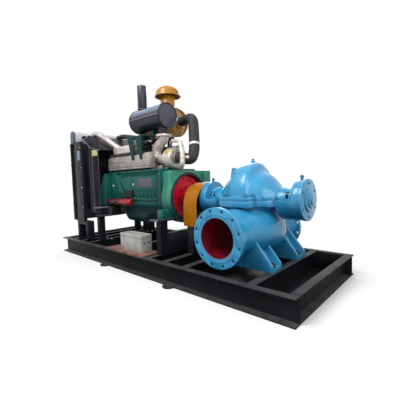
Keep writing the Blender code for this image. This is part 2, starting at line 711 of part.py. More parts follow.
def build_rotor():
    """Everything that turns: flywheel, coupling and pump shaft."""
    rim = FLYWHEEL_HOUSING_RADIUS - HOUSING_WALL - FLYWHEEL_GAP
    rear = ENGINE_REAR_X
    hub_end = GUARD_START - 0.050
    flywheel = turned("flywheel", [
        (rear + 0.045, 0.10), (rear + 0.045, rim), (rear + 0.120, rim), (rear + 0.123, rim - 0.004),
        (rear + 0.123, rim - 0.052), (rear + 0.110, rim - 0.062), (rear + 0.110, 0.095),
        (rear + 0.135, 0.090), (rear + 0.135, 0.060), (hub_end, 0.055),
    ], (0, 0, SHAFT_HEIGHT), "x", FLYWHEEL_RED, steps=30)
    first = hub_end + 2 * SEAT_GAP
    last = GUARD_END - 0.031
    big = COUPLING_RADIUS
    middle = (first + last) / 2
    half = [(first, 0.075), (middle - 0.052, 0.078), (middle - 0.048, big - 0.004), (middle - 0.044, big),
            (middle - 0.006, big), (middle - 0.002, big - 0.006)]
    other = [(2 * middle - along, radius) for along, radius in reversed(half)]
    coupling = turned("coupling", half + other, (0, 0, SHAFT_HEIGHT), "x", SATIN_BLACK, steps=24)
    shaft_start = last + 2 * SEAT_GAP
    end = PUMP_X + BEARING_REACH - 0.034
    shaft = turned("pump_shaft", [
        (shaft_start, PUMP_SHAFT_RADIUS - 0.002), (shaft_start + 0.002, PUMP_SHAFT_RADIUS),
        (end - 0.002, PUMP_SHAFT_RADIUS), (end, PUMP_SHAFT_RADIUS - 0.002),
    ], (0, 0, SHAFT_HEIGHT), "x", BRIGHT_STEEL, steps=24)
    return flywheel, coupling, shaft


# Engine.

def build_engine():
    low = BLOCK_BOTTOM
    half = HALF_ENGINE
    block_outline = [
        (-half + 0.03, low), (half - 0.03, low), (half, low + 0.055), (half, BLOCK_TOP), (-half, BLOCK_TOP),
        (-half, low + 0.055),
    ]
    prism("engine_block", block_outline, "x", BLOCK_FRONT, ENGINE_REAR_X, ENGINE_GREEN)
    build_oil_pan()
    foot = BLOCK_TOP + SEAT_GAP
    near = HALF_ENGINE - 0.060
    head_outline = [
        (-near, foot), (near + 0.01, foot), (near + 0.01, HEAD_TOP - 0.110), (near - 0.05, HEAD_TOP),
        (-near + 0.04, HEAD_TOP), (-near, HEAD_TOP - 0.050),
    ]
    prism("cylinder_heads", head_outline, "x", BLOCK_FRONT + 0.02, ENGINE_REAR_X - HEAD_SETBACK, SATIN_BLACK)
    face = near + 2 * SEAT_GAP
    cover_outline = [
        (-COVER_REACH, BLOCK_TOP + 0.02), (-face, BLOCK_TOP + 0.02), (-face, HEAD_TOP - 0.05),
        (-COVER_REACH + 0.03, HEAD_TOP - 0.05), (-COVER_REACH, HEAD_TOP - 0.08),
    ]
    prism("intake_cover", cover_outline, "x", BLOCK_FRONT + 0.03, ENGINE_REAR_X - COVER_SETBACK, CAST_SILVER)
    build_timing_case()
    build_flywheel_housing()
    radius = OIL_FILTER_RADIUS
    for name, start, end in (("oil_filter_front", BLOCK_FRONT + 0.05, BLOCK_FRONT + 0.27),
                             ("oil_filter_rear", BLOCK_FRONT + 0.30, BLOCK_FRONT + 0.58)):
        can = [(start, radius - 0.011), (start + 0.01, radius), (end - 0.02, radius), (end, radius - 0.016)]
        turned(name, can, (0.0, -HALF_ENGINE - radius - SEAT_GAP, BLOCK_BOTTOM + 0.075), "x",
               FILTER_RED, steps=20)
    block("starter_box", (ENGINE_REAR_X - 0.150, HALF_ENGINE + SEAT_GAP, BLOCK_TOP - 0.175),
          (ENGINE_REAR_X + 0.170, HALF_ENGINE + 0.130, BLOCK_TOP - 0.030), PALE_GREEN)


COVER_REACH = HALF_ENGINE + 0.030


def build_timing_case():
    """Wide front cover that slopes forward towards the crankshaft pulley."""
    rear = BLOCK_FRONT - SEAT_GAP
    front = BLOCK_FRONT - TIMING_CASE_DEPTH
    low = BLOCK_BOTTOM + 0.015
    high = BLOCK_TOP - 0.020
    outline = [
        (rear, low), (rear, high), (BLOCK_FRONT - 0.040, high), (front + 0.060, SHAFT_HEIGHT + 0.100),
        (front + 0.005, SHAFT_HEIGHT), (front, low),
    ]
    half = TIMING_CASE_WIDTH / 2
    prism("timing_case", outline, "y", -half, half, ENGINE_GREEN)


def build_oil_pan():
    """Sump with a deep front well, narrower below than at its flange."""
    top = BLOCK_BOTTOM - SEAT_GAP
    front = BLOCK_FRONT + 0.165
    length = ENGINE_REAR_X - 0.095 - front
    stations = [
        (0.011, 0.085, 0.14), (0.028, 0.160, 0.26), (0.056, 0.180, 0.61), (0.079, 0.188, 0.83),
        (0.112, 0.190, 0.97), (0.399, 0.190, 1.00), (0.567, 0.190, 0.98), (0.624, 0.188, 0.87),
        (0.702, 0.185, 0.61), (0.758, 0.180, 0.47), (0.961, 0.175, 0.41), (0.985, 0.150, 0.28),
    ]
    rings = []
    for share, half, depth in stations:
        ring = []
        x = front + share * length
        deep = max(depth * SUMP_DEPTH - 0.018, 0.006)
        for index in range(17):
            turn = math.pi * index / 16
            across = -math.copysign(abs(math.cos(turn)) ** 0.45, math.cos(turn)) * half
            ring.append((x, across, top - 0.018 - deep * math.sin(turn) ** 0.45))
        rings.append(ring)
    pan = loft("oil_pan", rings, DARK_GREEN)
    flange = block("pan_flange", (front, -0.205, top - 0.022), (front + length, 0.205, top), DARK_GREEN)
    return fuse(pan, flange)


def build_flywheel_housing():
    """Bell-shaped housing on a square adapter, open to the pump side, with a foot on each side."""
    outer = FLYWHEEL_HOUSING_RADIUS
    start = ENGINE_REAR_X + SEAT_GAP
    end = ENGINE_REAR_X + FLYWHEEL_HOUSING_LENGTH
    housing = turned("flywheel_housing", [
        (start, outer - 0.03), (start + 0.02, outer), (end - 0.030, outer), (end - 0.028, outer + 0.002),
        (end - 0.002, outer + 0.002), (end, outer),
    ], (0, 0, SHAFT_HEIGHT), "x", PALE_GREEN, steps=36)
    well = turned("well", [(start + 0.030, outer - HOUSING_WALL), (end + 0.10, outer - HOUSING_WALL)],
                  (0, 0, SHAFT_HEIGHT), "x", PALE_GREEN, steps=36)
    wide = HALF_ENGINE - SEAT_GAP
    low = BLOCK_BOTTOM + 0.020
    high = SHAFT_HEIGHT + HOUSING_ADAPTER_TOP
    adapter = [
        (-wide + 0.040, low), (wide - 0.040, low), (wide, low + 0.060), (wide, high - 0.030),
        (wide - 0.030, high), (-wide + 0.030, high), (-wide, high - 0.030), (-wide, low + 0.060),
    ]
    fuse(housing, prism("adapter", adapter, "x", start, ENGINE_REAR_X + HOUSING_ADAPTER_LENGTH, PALE_GREEN))
    for side in (-1, 1):
        fuse(housing, side_block("ear", side, (start + 0.050, end - 0.032), (0.200, outer + 0.090),
                                 (REAR_PLATE_TOP + SEAT_GAP, REAR_PLATE_TOP + 0.100), PALE_GREEN))
    return cut(housing, well)


def build_posts():
    """Steel posts that carry the engine: a pair in front and a braced pair behind."""
    x = CROSS_MEMBERS["cross_engine_front"]
    arm_top = BLOCK_BOTTOM - 0.103
    for name, side in (("post_front_near", -1), ("post_front_far", 1)):
        post = side_block(name, side, (x, x + 0.075), (POST_REACH - 0.08, POST_REACH),
                          (DECK, arm_top - 0.002), SATIN_BLACK)
        arm = side_block("arm", side, (x - 0.01, x + 0.20), (0.215, POST_REACH + 0.02),
                         (arm_top - 0.017, arm_top), SATIN_BLACK)
        bracket = side_block("bracket", side, (x + 0.05, x + 0.20), (0.215, 0.360),
                             (arm_top - 0.010, BLOCK_BOTTOM - SEAT_GAP), SATIN_BLACK)
        fuse(post, arm, bracket)
    x = CROSS_MEMBERS["cross_engine_rear"]
    reach = FLYWHEEL_HOUSING_RADIUS + 0.002
    drop = SHAFT_HEIGHT - REAR_PLATE_TOP
    inner = math.sqrt(max(reach * reach - drop * drop, 0.0)) + 0.019
    frame_top = SHAFT_HEIGHT - FLYWHEEL_HOUSING_RADIUS - 0.070
    reach = POST_REACH - 0.040
    frame = block("rear_support", (x, -reach, DECK), (x + 0.070, reach, frame_top), SATIN_BLACK)
    for side in (-1, 1):
        post = side_block("post", side, (x - 0.004, x + 0.0735), (POST_REACH - 0.10, POST_REACH),
                          (DECK, REAR_PLATE_TOP - 0.010), SATIN_BLACK)
        plate = side_block("plate", side, (x - 0.070, x + 0.090), (inner, POST_REACH + 0.02),
                           (REAR_PLATE_TOP - 0.018, REAR_PLATE_TOP), SATIN_BLACK)
        fuse(frame, post, plate)


# Radiator at the -X end.

def build_radiator():
    half = HALF_RADIATOR
    back = CORE_FRONT - 0.005
    face = CORE_REAR + 0.005
    middle = (back + face) / 2
    block("radiator_core", (CORE_FRONT, -CORE_HALF, CORE_BOTTOM + SEAT_GAP),
          (CORE_REAR, CORE_HALF, CORE_TOP - SEAT_GAP), RADIATOR_GREY)
    tank = [(back, CORE_TOP), (face, CORE_TOP), (face, TANK_TOP - 0.056), (face - 0.025, TANK_TOP - 0.016),
            (middle, TANK_TOP), (back + 0.025, TANK_TOP - 0.016), (back, TANK_TOP - 0.056)]
    tank = prism("top_tank", tank, "y", -half, half, RADIATOR_GREY)
    spigot_end = face + 0.015
    pipe_z = TANK_TOP - 0.032
    fuse(tank, turned("spigot", [(middle, CHARGE_PIPE_RADIUS), (spigot_end, CHARGE_PIPE_RADIUS)],
                      (0, PIPE_Y, pipe_z), "x", RADIATOR_GREY, steps=14))
    block("bottom_tank", (back, -CORE_HALF, RADIATOR_BASE + 0.010), (face, CORE_HALF, CORE_BOTTOM),
          RADIATOR_GREY)
    frame_start = CORE_FRONT - 0.030
    frame_end = frame_start + SIDE_FRAME_DEPTH
    for name, side in (("side_frame_near", -1), ("side_frame_far", 1)):
        frame = side_block(name, side, (frame_start, frame_end), (half - SIDE_FRAME_WIDTH, half),
                           (RADIATOR_BASE, CORE_TOP - SEAT_GAP), SATIN_BLACK)
        recess = side_block("recess", side, (frame_start + 0.015, frame_end - 0.015),
                            (half - SIDE_FRAME_WIDTH + 0.010, half + 0.05),
                            (RADIATOR_BASE + 0.020, CORE_TOP - 0.020), SATIN_BLACK)
        cut(frame, recess)
    build_shroud()
    build_fan_guards()
    for name, side in (("radiator_leg_near", -1), ("radiator_leg_far", 1)):
        build_radiator_leg(name, side)
    pipe_run = HEAD_TOP + CHARGE_PIPE_RADIUS + SEAT_GAP
    route = smoothed([
        (spigot_end + SEAT_GAP, PIPE_Y, pipe_z), (CORE_REAR + 0.140, PIPE_Y, pipe_z),
        (BLOCK_FRONT + 0.120, -0.215, pipe_run + 0.050), (BLOCK_FRONT + 0.190, -0.170, pipe_run),
        (BLOCK_FRONT + 0.460, -0.165, pipe_run),
    ], 0.05, 4)
    swept("charge_pipe", route, CHARGE_PIPE_RADIUS, CAST_SILVER, sides=12)


PIPE_Y = -0.250
SHROUD_MIDDLE = (CORE_BOTTOM + CORE_TOP) / 2


def shroud_ring(x, blend, half, height, radius):
    """One section of the funnel, blended from a rectangle to a circle."""
    ring = []
    for index in range(32):
        turn = 2.0 * math.pi * (index + 0.5) / 32
        cosine = math.cos(turn)
        sine = math.sin(turn)
        reach = 1.0 / max(abs(cosine), abs(sine))
        across = half * cosine * reach * (1 - blend) + radius * cosine * blend
        rise = height * sine * reach * (1 - blend) + radius * sine * blend
        ring.append((x, across, SHROUD_MIDDLE + rise))
    return ring


def build_shroud():
    """Funnel from the square core to the fan ring."""
    start = CORE_REAR + 0.005 + 2 * SEAT_GAP
    end = CORE_REAR + SHROUD_DEPTH
    sheet = 0.004
    height = CORE_HEIGHT / 2 - 0.005
    stations = ((start, 0.0), (start + 0.055, 0.0), (end - 0.040, 1.0), (end, 1.0))
    rings = [shroud_ring(x, blend, CORE_HALF, height, FAN_RING_RADIUS) for x, blend in stations]
    shroud = loft("fan_shroud", rings, SATIN_BLACK)
    stations = ((start - 0.03, 0.0), (start + 0.055, 0.0), (end - 0.040, 1.0), (end + 0.03, 1.0))
    rings = [shroud_ring(x, blend, CORE_HALF - sheet, height - sheet, FAN_RING_RADIUS - sheet)
             for x, blend in stations]
    return cut(shroud, loft("inside", rings, SATIN_BLACK))


def build_fan_guards():
    """Sloping hood over the fan and a panel down each side of it."""
    start = CORE_REAR + 0.005 + SEAT_GAP
    ridge = start + 0.085
    rear = BLOCK_FRONT + 0.080
    sheet = GUARD_SHEET
    high = TANK_TOP - 0.076
    low = HEAD_TOP + 0.048
    hood = [(start, high - 0.010), (ridge, high), (rear, low), (rear, low - sheet), (ridge, high - sheet),
            (start, high - 0.010 - sheet)]
    prism("hood_panel", hood, "y", -FAN_RING_RADIUS - 0.020, FAN_RING_RADIUS + 0.020, SATIN_BLACK)
    front = CORE_REAR + SHROUD_DEPTH + SEAT_GAP
    back = BLOCK_FRONT - 0.010
    slope = (low - high) / (rear - ridge)
    bottom = BLOCK_BOTTOM - 0.085
    for name, side in (("fan_guard_near", -1), ("fan_guard_far", 1)):
        panel = [(front, bottom), (back, bottom)]
        for x in (back, front):
            panel.append((x, high - sheet - 0.003 + slope * (x - ridge)))
        faces = sorted((side * (FAN_RING_RADIUS - 0.004), side * FAN_RING_RADIUS))
        prism(name, panel, "y", faces[0], faces[1], SATIN_BLACK)


def build_radiator_leg(name, side):
    """Upside-down U that carries the radiator on two cross-members."""
    first = CROSS_MEMBERS["cross_radiator_front"]
    second = CROSS_MEMBERS["cross_radiator_rear"]
    top = RADIATOR_BASE - SEAT_GAP
    outline = [
        (first, DECK), (first + 0.06, DECK), (first + 0.06, top - 0.05), (second + 0.012, top - 0.05),
        (second + 0.012, DECK), (second + 0.072, DECK), (second + 0.072, top), (first - 0.02, top),
        (first, top - 0.02),
    ]
    faces = sorted((side * (HALF_RADIATOR - 0.10), side * HALF_RADIATOR))
    prism(name, outline, "y", faces[0], faces[1], SATIN_BLACK)


# Exhaust and air intake.

MUFFLER_END = ENGINE_REAR_X - 0.050
NECK_X = MUFFLER_END - 0.092


def build_exhaust():
    start = MUFFLER_END - MUFFLER_LENGTH
    radius = MUFFLER_RADIUS
    axis = (0, MUFFLER_Y, MUFFLER_Z)
    lip = 0.006
    half = [
        (lip, radius - 0.012), (0.0, radius - 0.010), (0.0, radius - 0.002), (lip, radius), (0.030, radius),
        (0.034, radius - 0.004),
    ]
    profile = [(start + along, out) for along, out in half]
    profile += [(MUFFLER_END - along, out) for along, out in reversed(half)]
    muffler = turned("muffler", profile, axis, "x", MUFFLER_GREY, steps=32)
    stack_x = start + 0.105
    stack_foot = MUFFLER_Z + radius - 0.004 + SEAT_GAP
    stack_top = stack_foot + STACK_HEIGHT
    hollow = STACK_RADIUS - 0.005
    stack = turned("exhaust_stack", [(stack_foot, STACK_RADIUS), (stack_top, STACK_RADIUS)],
                   (stack_x, MUFFLER_Y, 0), "z", MUFFLER_GREY, steps=24)
    cut(stack, turned("hollow", [(stack_top - 0.150, hollow), (stack_top + 0.05, hollow)],
                      (stack_x, MUFFLER_Y, 0), "z", MUFFLER_GREY, steps=24))
    joint = MUFFLER_Z - radius - 0.070
    neck = EXHAUST_RADIUS - 0.001
    fuse(muffler, turned("neck", [(joint, neck), (MUFFLER_Z - 0.05, neck)], (NECK_X, MUFFLER_Y, 0), "z",
                         MUFFLER_GREY, steps=24))
    build_exhaust_elbow(joint)
    build_turbocharger()
    build_muffler_bracket(start)


def build_exhaust_elbow(joint):
    """C-shaped pipe from the turbine up to the muffler's neck, with its flange."""
    y = MUFFLER_Y
    column = NECK_X - 0.150
    middle = (joint + TURBO_Z) / 2 - 0.052
    inlet = ENGINE_REAR_X - TURBO_SETBACK - 2 * SEAT_GAP
    lead = 0.020
    upper = bowed((NECK_X, y, joint - lead), (NECK_X, y, joint - 0.095), (column, y, middle + 0.090),
                  (column, y, middle))
    lower = bowed((column, y, middle), (column, y, TURBO_Z), (column + 0.050, y, TURBO_Z),
                  (inlet - lead, y, TURBO_Z))
    ends = Vector((NECK_X, y, joint - SEAT_GAP)), Vector((inlet, y, TURBO_Z))
    elbow = swept("exhaust_elbow", [ends[0]] + upper + lower[1:] + [ends[1]], EXHAUST_RADIUS, CAST_SILVER)
    flange = EXHAUST_FLANGE_RADIUS
    top = joint - SEAT_GAP
    fuse(elbow, turned("flange", [(top - EXHAUST_FLANGE_THICKNESS, flange), (top, flange)],
                       (NECK_X, MUFFLER_Y, 0), "z", CAST_SILVER, steps=28))


def build_turbocharger():
    """Turbine and compressor housings, with the inlet spigot, on a foot on the block."""
    start = ENGINE_REAR_X - TURBO_SETBACK
    drum = TURBO_RADIUS
    profile = [
        (0.000, 0.074), (0.012, 0.074), (0.014, 0.082), (0.024, 0.093), (0.044, 0.093), (0.054, 0.080),
        (0.064, 0.080), (0.070, drum - 0.008), (0.078, drum), (0.140, drum), (0.152, drum - 0.012),
        (0.158, drum - 0.040), (0.168, INLET_RADIUS), (TURBO_LENGTH, INLET_RADIUS),
    ]
    turbo = turned("turbocharger", [(start + along, radius) for along, radius in profile],
                   (0.0, MUFFLER_Y, TURBO_Z), "x", CAST_SILVER, steps=26)
    return fuse(turbo, block("foot", (start + 0.018, MUFFLER_Y - 0.050, BLOCK_TOP + SEAT_GAP),
                             (start + 0.066, MUFFLER_Y + 0.050, TURBO_Z - 0.06), CAST_SILVER))


def build_muffler_bracket(start):
    """Plate on two tapered legs in front of the heads, with two saddles."""
    low = MUFFLER_Z - MUFFLER_RADIUS - 0.080
    sheet = 0.008
    inner = -COVER_REACH - 2 * SEAT_GAP
    outer = inner - sheet
    foot = HEAD_TOP - 0.130
    bar = block("muffler_bracket", (start + 0.020, outer, low),
                (MUFFLER_END - 0.225, MUFFLER_Y + 0.080, low + 0.015), ENGINE_GREEN)
    for x in (start + 0.115, MUFFLER_END - 0.315):
        leg = [(x, foot), (x + 0.042, foot), (x + 0.048, low + 0.010), (x - 0.084, low + 0.010)]
        fuse(bar, prism("leg", leg, "y", outer, inner, ENGINE_GREEN))
    saddle_top = MUFFLER_Z - MUFFLER_RADIUS + 0.004 - SEAT_GAP
    for x in (start + 0.060, MUFFLER_END - 0.280):
        fuse(bar, block("saddle", (x, MUFFLER_Y - 0.040, low + 0.010),
                        (x + 0.040, MUFFLER_Y + 0.040, saddle_top), ENGINE_GREEN))
    return bar


def build_intake():
    """Air cleaner with its hooded inlet, the bracket under it and the hose to the compressor."""
    radius = AIR_CLEANER_RADIUS
    outlet = ENGINE_REAR_X - 0.230
    start = outlet - AIR_CLEANER_LENGTH
    cleaner = turned("air_cleaner", [
        (start, radius - 0.06), (start + 0.020, radius - 0.01), (start + 0.035, radius),
        (outlet - 0.100, radius), (outlet - 0.085, radius + 0.004), (outlet - 0.065, radius + 0.004),
        (outlet - 0.050, radius - 0.02), (outlet - 0.025, 0.090), (outlet, 0.075),
    ], (0, CLEANER_Y, CLEANER_Z), "x", CLEANER_GOLD, steps=32)
    neck_x = outlet - 0.220
    neck_top = CLEANER_Z + radius + CLEANER_NECK_HEIGHT
    neck = CLEANER_NECK_RADIUS
    fuse(cleaner, turned("neck", [(CLEANER_Z + 0.10, neck - 0.008), (neck_top, neck)],
                         (neck_x, CLEANER_Y, 0), "z", CLEANER_GOLD, steps=24))
    build_rain_cap(neck_x, neck_top + SEAT_GAP)
    saddle_top = CLEANER_Z - radius - SEAT_GAP
    bracket = block("cleaner_bracket", (start + 0.070, CLEANER_Y - 0.040, saddle_top - 0.015),
                    (outlet - 0.150, CLEANER_Y + 0.040, saddle_top), ENGINE_GREEN)
    for x in (start + 0.100, outlet - 0.220):
        fuse(bracket, block("leg", (x, CLEANER_Y - 0.040, BLOCK_TOP + SEAT_GAP),
                            (x + 0.040, CLEANER_Y, saddle_top - 0.005), ENGINE_GREEN))
    build_intake_hose(outlet + 2 * SEAT_GAP)


def build_rain_cap(x, seat):
    """Hollow domed hood whose skirt hangs round the neck it sits on."""
    brim = RAIN_CAP_RADIUS
    dome = brim - 0.012
    low = seat - RAIN_CAP_SKIRT
    profile = [
        (seat, brim - 0.040), (low, brim - 0.008), (low, brim - 0.001), (low + 0.005, brim),
        (seat - 0.012, dome),
    ]
    for index in range(7):
        turn = math.radians(84) * index / 6
        profile.append((seat + RAIN_CAP_HEIGHT * math.sin(turn), dome * math.cos(turn)))
    return turned("rain_cap", profile, (x, CLEANER_Y, 0), "z", CLEANER_GOLD, steps=28)


def build_intake_hose(start):
    """Fat hose that leaves the air cleaner level, drops and curls into the compressor."""
    end = ENGINE_REAR_X - TURBO_SETBACK + TURBO_LENGTH + 2 * SEAT_GAP
    lead = 0.020
    drop = (end + 0.095, 0.100, TURBO_Z + 0.175)
    upper = smoothed([
        (start, CLEANER_Y, CLEANER_Z), (start + 0.100, CLEANER_Y, CLEANER_Z),
        (end + 0.002, CLEANER_Y - 0.075, CLEANER_Z), drop,
    ], 0.115, 5)
    lower = bowed(drop, (end + 0.165, 0.020, TURBO_Z - 0.120), (end + 0.155, MUFFLER_Y, TURBO_Z),
                  (end + lead, MUFFLER_Y, TURBO_Z), 10)
    last = Vector((end, MUFFLER_Y, TURBO_Z))
    swept("intake_hose", upper + lower[1:] + [last], HOSE_RADIUS, HOSE_BLACK)


def build_side_equipment():
    """Battery box on a flat plate along the near rail."""
    start = ENGINE_REAR_X - 0.620
    edge = SKID_WIDTH / 2 - 0.010
    block("board", (start, -edge, DECK), (start + BOARD_LENGTH, -edge + BOARD_WIDTH, DECK + BOARD_THICKNESS),
          BOARD_BROWN)
    low = DECK + BOARD_THICKNESS + SEAT_GAP
    front = start + (BOARD_LENGTH - BATTERY_LENGTH) * 0.66
    near = -edge + BOARD_WIDTH - BATTERY_WIDTH - 0.010
    block("battery_box", (front, near, low),
          (front + BATTERY_LENGTH, near + BATTERY_WIDTH, low + BATTERY_HEIGHT), BOX_GREY)


def main():
    clear_scene()
    build_skid()
    build_lower_casing()
    build_upper_casing()
    build_bearing_bracket("bearing_bracket_free_end", 1)
    build_bearing_bracket("bearing_bracket_drive_end", -1)
    build_bearing_cap("bearing_cap_free_end", 1)
    build_bearing_cap("bearing_cap_drive_end", -1)
    build_guard()
    build_rotor()
    build_engine()
    build_posts()
    build_radiator()
    build_exhaust()
    build_intake()
    build_side_equipment()


main()
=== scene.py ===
"""Finishes and fittings of an engine-driven split case pump set.

The solids of the set are loaded first and stay where they are. Each one gets a
rounded, painted skin, and the nuts, welds, hoses, fan, wire guards and engine
fittings that the solids leave out are modelled around them.
"""
import json
import math

import bpy
from mathutils import Matrix, Vector

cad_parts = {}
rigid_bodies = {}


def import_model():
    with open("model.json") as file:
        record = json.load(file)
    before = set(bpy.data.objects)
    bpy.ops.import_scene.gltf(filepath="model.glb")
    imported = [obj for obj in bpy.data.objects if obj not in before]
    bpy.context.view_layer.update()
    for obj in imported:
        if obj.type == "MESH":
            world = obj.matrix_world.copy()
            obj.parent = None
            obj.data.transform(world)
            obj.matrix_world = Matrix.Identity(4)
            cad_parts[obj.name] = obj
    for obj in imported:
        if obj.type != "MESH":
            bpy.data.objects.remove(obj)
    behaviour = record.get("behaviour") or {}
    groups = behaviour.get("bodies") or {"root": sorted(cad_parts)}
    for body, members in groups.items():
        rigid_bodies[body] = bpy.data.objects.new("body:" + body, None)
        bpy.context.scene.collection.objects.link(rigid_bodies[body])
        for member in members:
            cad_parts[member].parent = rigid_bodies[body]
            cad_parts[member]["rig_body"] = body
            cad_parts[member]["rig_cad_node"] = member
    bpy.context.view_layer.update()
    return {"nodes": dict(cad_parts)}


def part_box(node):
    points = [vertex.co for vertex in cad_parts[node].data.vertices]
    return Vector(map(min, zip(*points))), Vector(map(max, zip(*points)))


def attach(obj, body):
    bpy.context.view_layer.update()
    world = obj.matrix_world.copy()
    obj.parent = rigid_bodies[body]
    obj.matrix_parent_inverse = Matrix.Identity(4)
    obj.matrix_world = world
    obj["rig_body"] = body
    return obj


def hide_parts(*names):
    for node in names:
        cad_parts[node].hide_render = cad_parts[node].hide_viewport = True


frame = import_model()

bl_info = {
    "name": "Split case pump set",
    "version": (1, 0, 0),
    "blender": (4, 5, 0),
    "location": "View3D > Sidebar > Pump set",
    "description": "Finishes and fittings of an engine-driven split case pump set",
    "category": "Add Mesh",
}

STILL = "set"
TURNING = "rotor"
X, Y, Z = Vector((1, 0, 0)), Vector((0, 1, 0)), Vector((0, 0, 1))


def screen(red, green, blue):
    """An 8-bit screen colour as the linear colour that a shader takes."""
    def linear(value):
        value = value / 255.0
        return value / 12.92 if value <= 0.04045 else ((value + 0.055) / 1.055) ** 2.4
    return (linear(red), linear(green), linear(blue))


def low(node):
    """Lowest corner of one solid."""
    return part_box(node)[0]


def high(node):
    """Highest corner of one solid."""
    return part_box(node)[1]


# Places read from the solids.

DECK = low("post_front_near").z
PUMP_X = (low("casing_upper").x + high("casing_upper").x) / 2
SHAFT_Z = (low("pump_shaft").z + high("pump_shaft").z) / 2
SUCTION_Y = low("casing_lower").y
DISCHARGE_Y = high("casing_lower").y
BLOCK_LOW, BLOCK_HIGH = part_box("engine_block")
FRONT, REAR = BLOCK_LOW.x, BLOCK_HIGH.x
HALF = BLOCK_HIGH.y
HEAD_LOW, HEAD_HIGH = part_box("cylinder_heads")
HEAD_TOP = HEAD_HIGH.z

# What the boxes of the solids don't show, in metres: the split flange's thickness over the shaft, how far
# the nozzles lie under it, their bores and where those begin, and the fall of the wire guard's top edge.

SPLIT_PLATE = 0.034
SUCTION_DROP, DISCHARGE_DROP = 0.302, 0.350
SUCTION_BORE, DISCHARGE_BORE = 0.177, 0.152
BORE_START = 0.17
GUARD_SLOPE = 0.5378

# Corners closer than this are made one.

MERGE = 0.00002

PLATE_TOP = SHAFT_Z + SPLIT_PLATE
SUCTION_Z = SHAFT_Z - SUCTION_DROP
DISCHARGE_Z = SHAFT_Z - DISCHARGE_DROP

# The photograph's viewpoint, fitted to the skid and the suction flange.

EYE = (2.582, -2.426, 0.991)
YAW, PITCH, ROLL = math.radians(42.34), math.radians(3.85), math.radians(-1.67)
LENS = 25.47

# The floor keeps the shadow up to the first distance and is plain white from the second on.

SHADOW_REACH, WHITE_FROM = 1.6, 3.6
BACKGROUND_RAYS = ("Is Camera Ray", "Is Glossy Ray", "Is Transmission Ray")


# Settings that a user would change.

def colour_setting(name, description, value):
    """A colour picker that opens on the given colour."""
    return bpy.props.FloatVectorProperty(name=name, description=description, subtype="COLOR", size=3,
                                         min=0.0, max=1.0, default=value)


def length_setting(name, description, value):
    """A length in metres."""
    return bpy.props.FloatProperty(name=name, description=description, subtype="DISTANCE", unit="LENGTH",
                                   min=0.0, default=value)


class PumpSetColours(bpy.types.PropertyGroup):
    """Paint and metal colours of the pump set."""

    pump_blue: colour_setting("Pump blue", "Enamel on the pump casing", screen(48, 148, 192))
    bore_red: colour_setting("Bore red", "Primer inside the pump's nozzles", screen(120, 20, 34))
    engine_green: colour_setting("Engine green", "Enamel on the cylinder block", screen(14, 90, 80))
    pale_green: colour_setting("Pale green", "Enamel on the flywheel housing", screen(56, 138, 112))
    pan_green: colour_setting("Pan green", "Enamel on the oil pan", screen(10, 60, 54))
    flywheel_red: colour_setting("Flywheel red", "Paint on the flywheel", screen(222, 14, 46))
    guard_yellow: colour_setting("Guard yellow", "Paint on the coupling guard", screen(168, 102, 3))
    cleaner_gold: colour_setting("Cleaner gold", "Paint on the air cleaner", screen(178, 120, 24))
    skid_black: colour_setting("Skid black", "Paint on the skid channels", screen(28, 28, 32))
    satin_black: colour_setting("Satin black", "Paint on brackets and frames", screen(36, 35, 41))
    filter_red: colour_setting("Filter red", "Paint on the oil filters", screen(142, 18, 34))
    box_grey: colour_setting("Box grey", "Plastic of the battery box", screen(176, 174, 168))


class PumpSetSizes(bpy.types.PropertyGroup):
    """Sizes of the fittings that the scene adds."""

    casting_round: length_setting("Casting edge", "Rounding on the edges of castings", 0.0035)
    sheet_round: length_setting("Sheet edge", "Rounding on the edges of sheet and bar", 0.0012)
    split_nut: length_setting("Split nut", "Width across the corners of the split flange nuts", 0.040)
    split_pitch: length_setting("Split pitch", "Distance between the split flange nuts", 0.078)
    foot_nut: length_setting("Foot nut", "Width across the corners of the holding-down nuts", 0.050)
    wire: length_setting("Guard wire", "Radius of the wires of the fan guard", 0.0022)
    wire_pitch: length_setting("Wire pitch", "Distance between the wires of the fan guard", 0.030)


def sizes():
    """The sizes that the panel shows."""
    return bpy.context.scene.pump_set_sizes


def colours():
    """The colours that the panel shows."""
    return bpy.context.scene.pump_set_colours


# Finishes. A wire carries a socket's value, and plain arithmetic on it adds nodes.

class Wire:
    """A value on its way through a finish."""

    def __init__(self, finish, socket):
        self.finish = finish
        self.socket = socket

    def sum(self, operation, *values):
        places = dict(enumerate(values))
        return self.finish.node("ShaderNodeMath", {"operation": operation}, places)

    def __add__(self, other):
        return self.sum("ADD", self, other)

    def __radd__(self, other):
        return self.sum("ADD", other, self)

    def __sub__(self, other):
        return self.sum("SUBTRACT", self, other)

    def __rsub__(self, other):
        return self.sum("SUBTRACT", other, self)

    def __mul__(self, other):
        return self.sum("MULTIPLY", self, other)

    def __rmul__(self, other):
        return self.sum("MULTIPLY", other, self)

    def __pow__(self, other):
        return self.sum("POWER", self, other)

    def most(self, other):
        return self.sum("MAXIMUM", self, other)

    def size(self):
        return self.sum("ABSOLUTE", self)

    def wave(self):
        return self.sum("SINE", self)

    def ramp(self, start, end, first=0.0, last=1.0):
        """A smooth step from first to last while the value goes from start to end."""
        settings = {"interpolation_type": "SMOOTHSTEP"}
        return self.finish.node("ShaderNodeMapRange", settings,
                                {0: self, 1: start, 2: end, 3: first, 4: last})


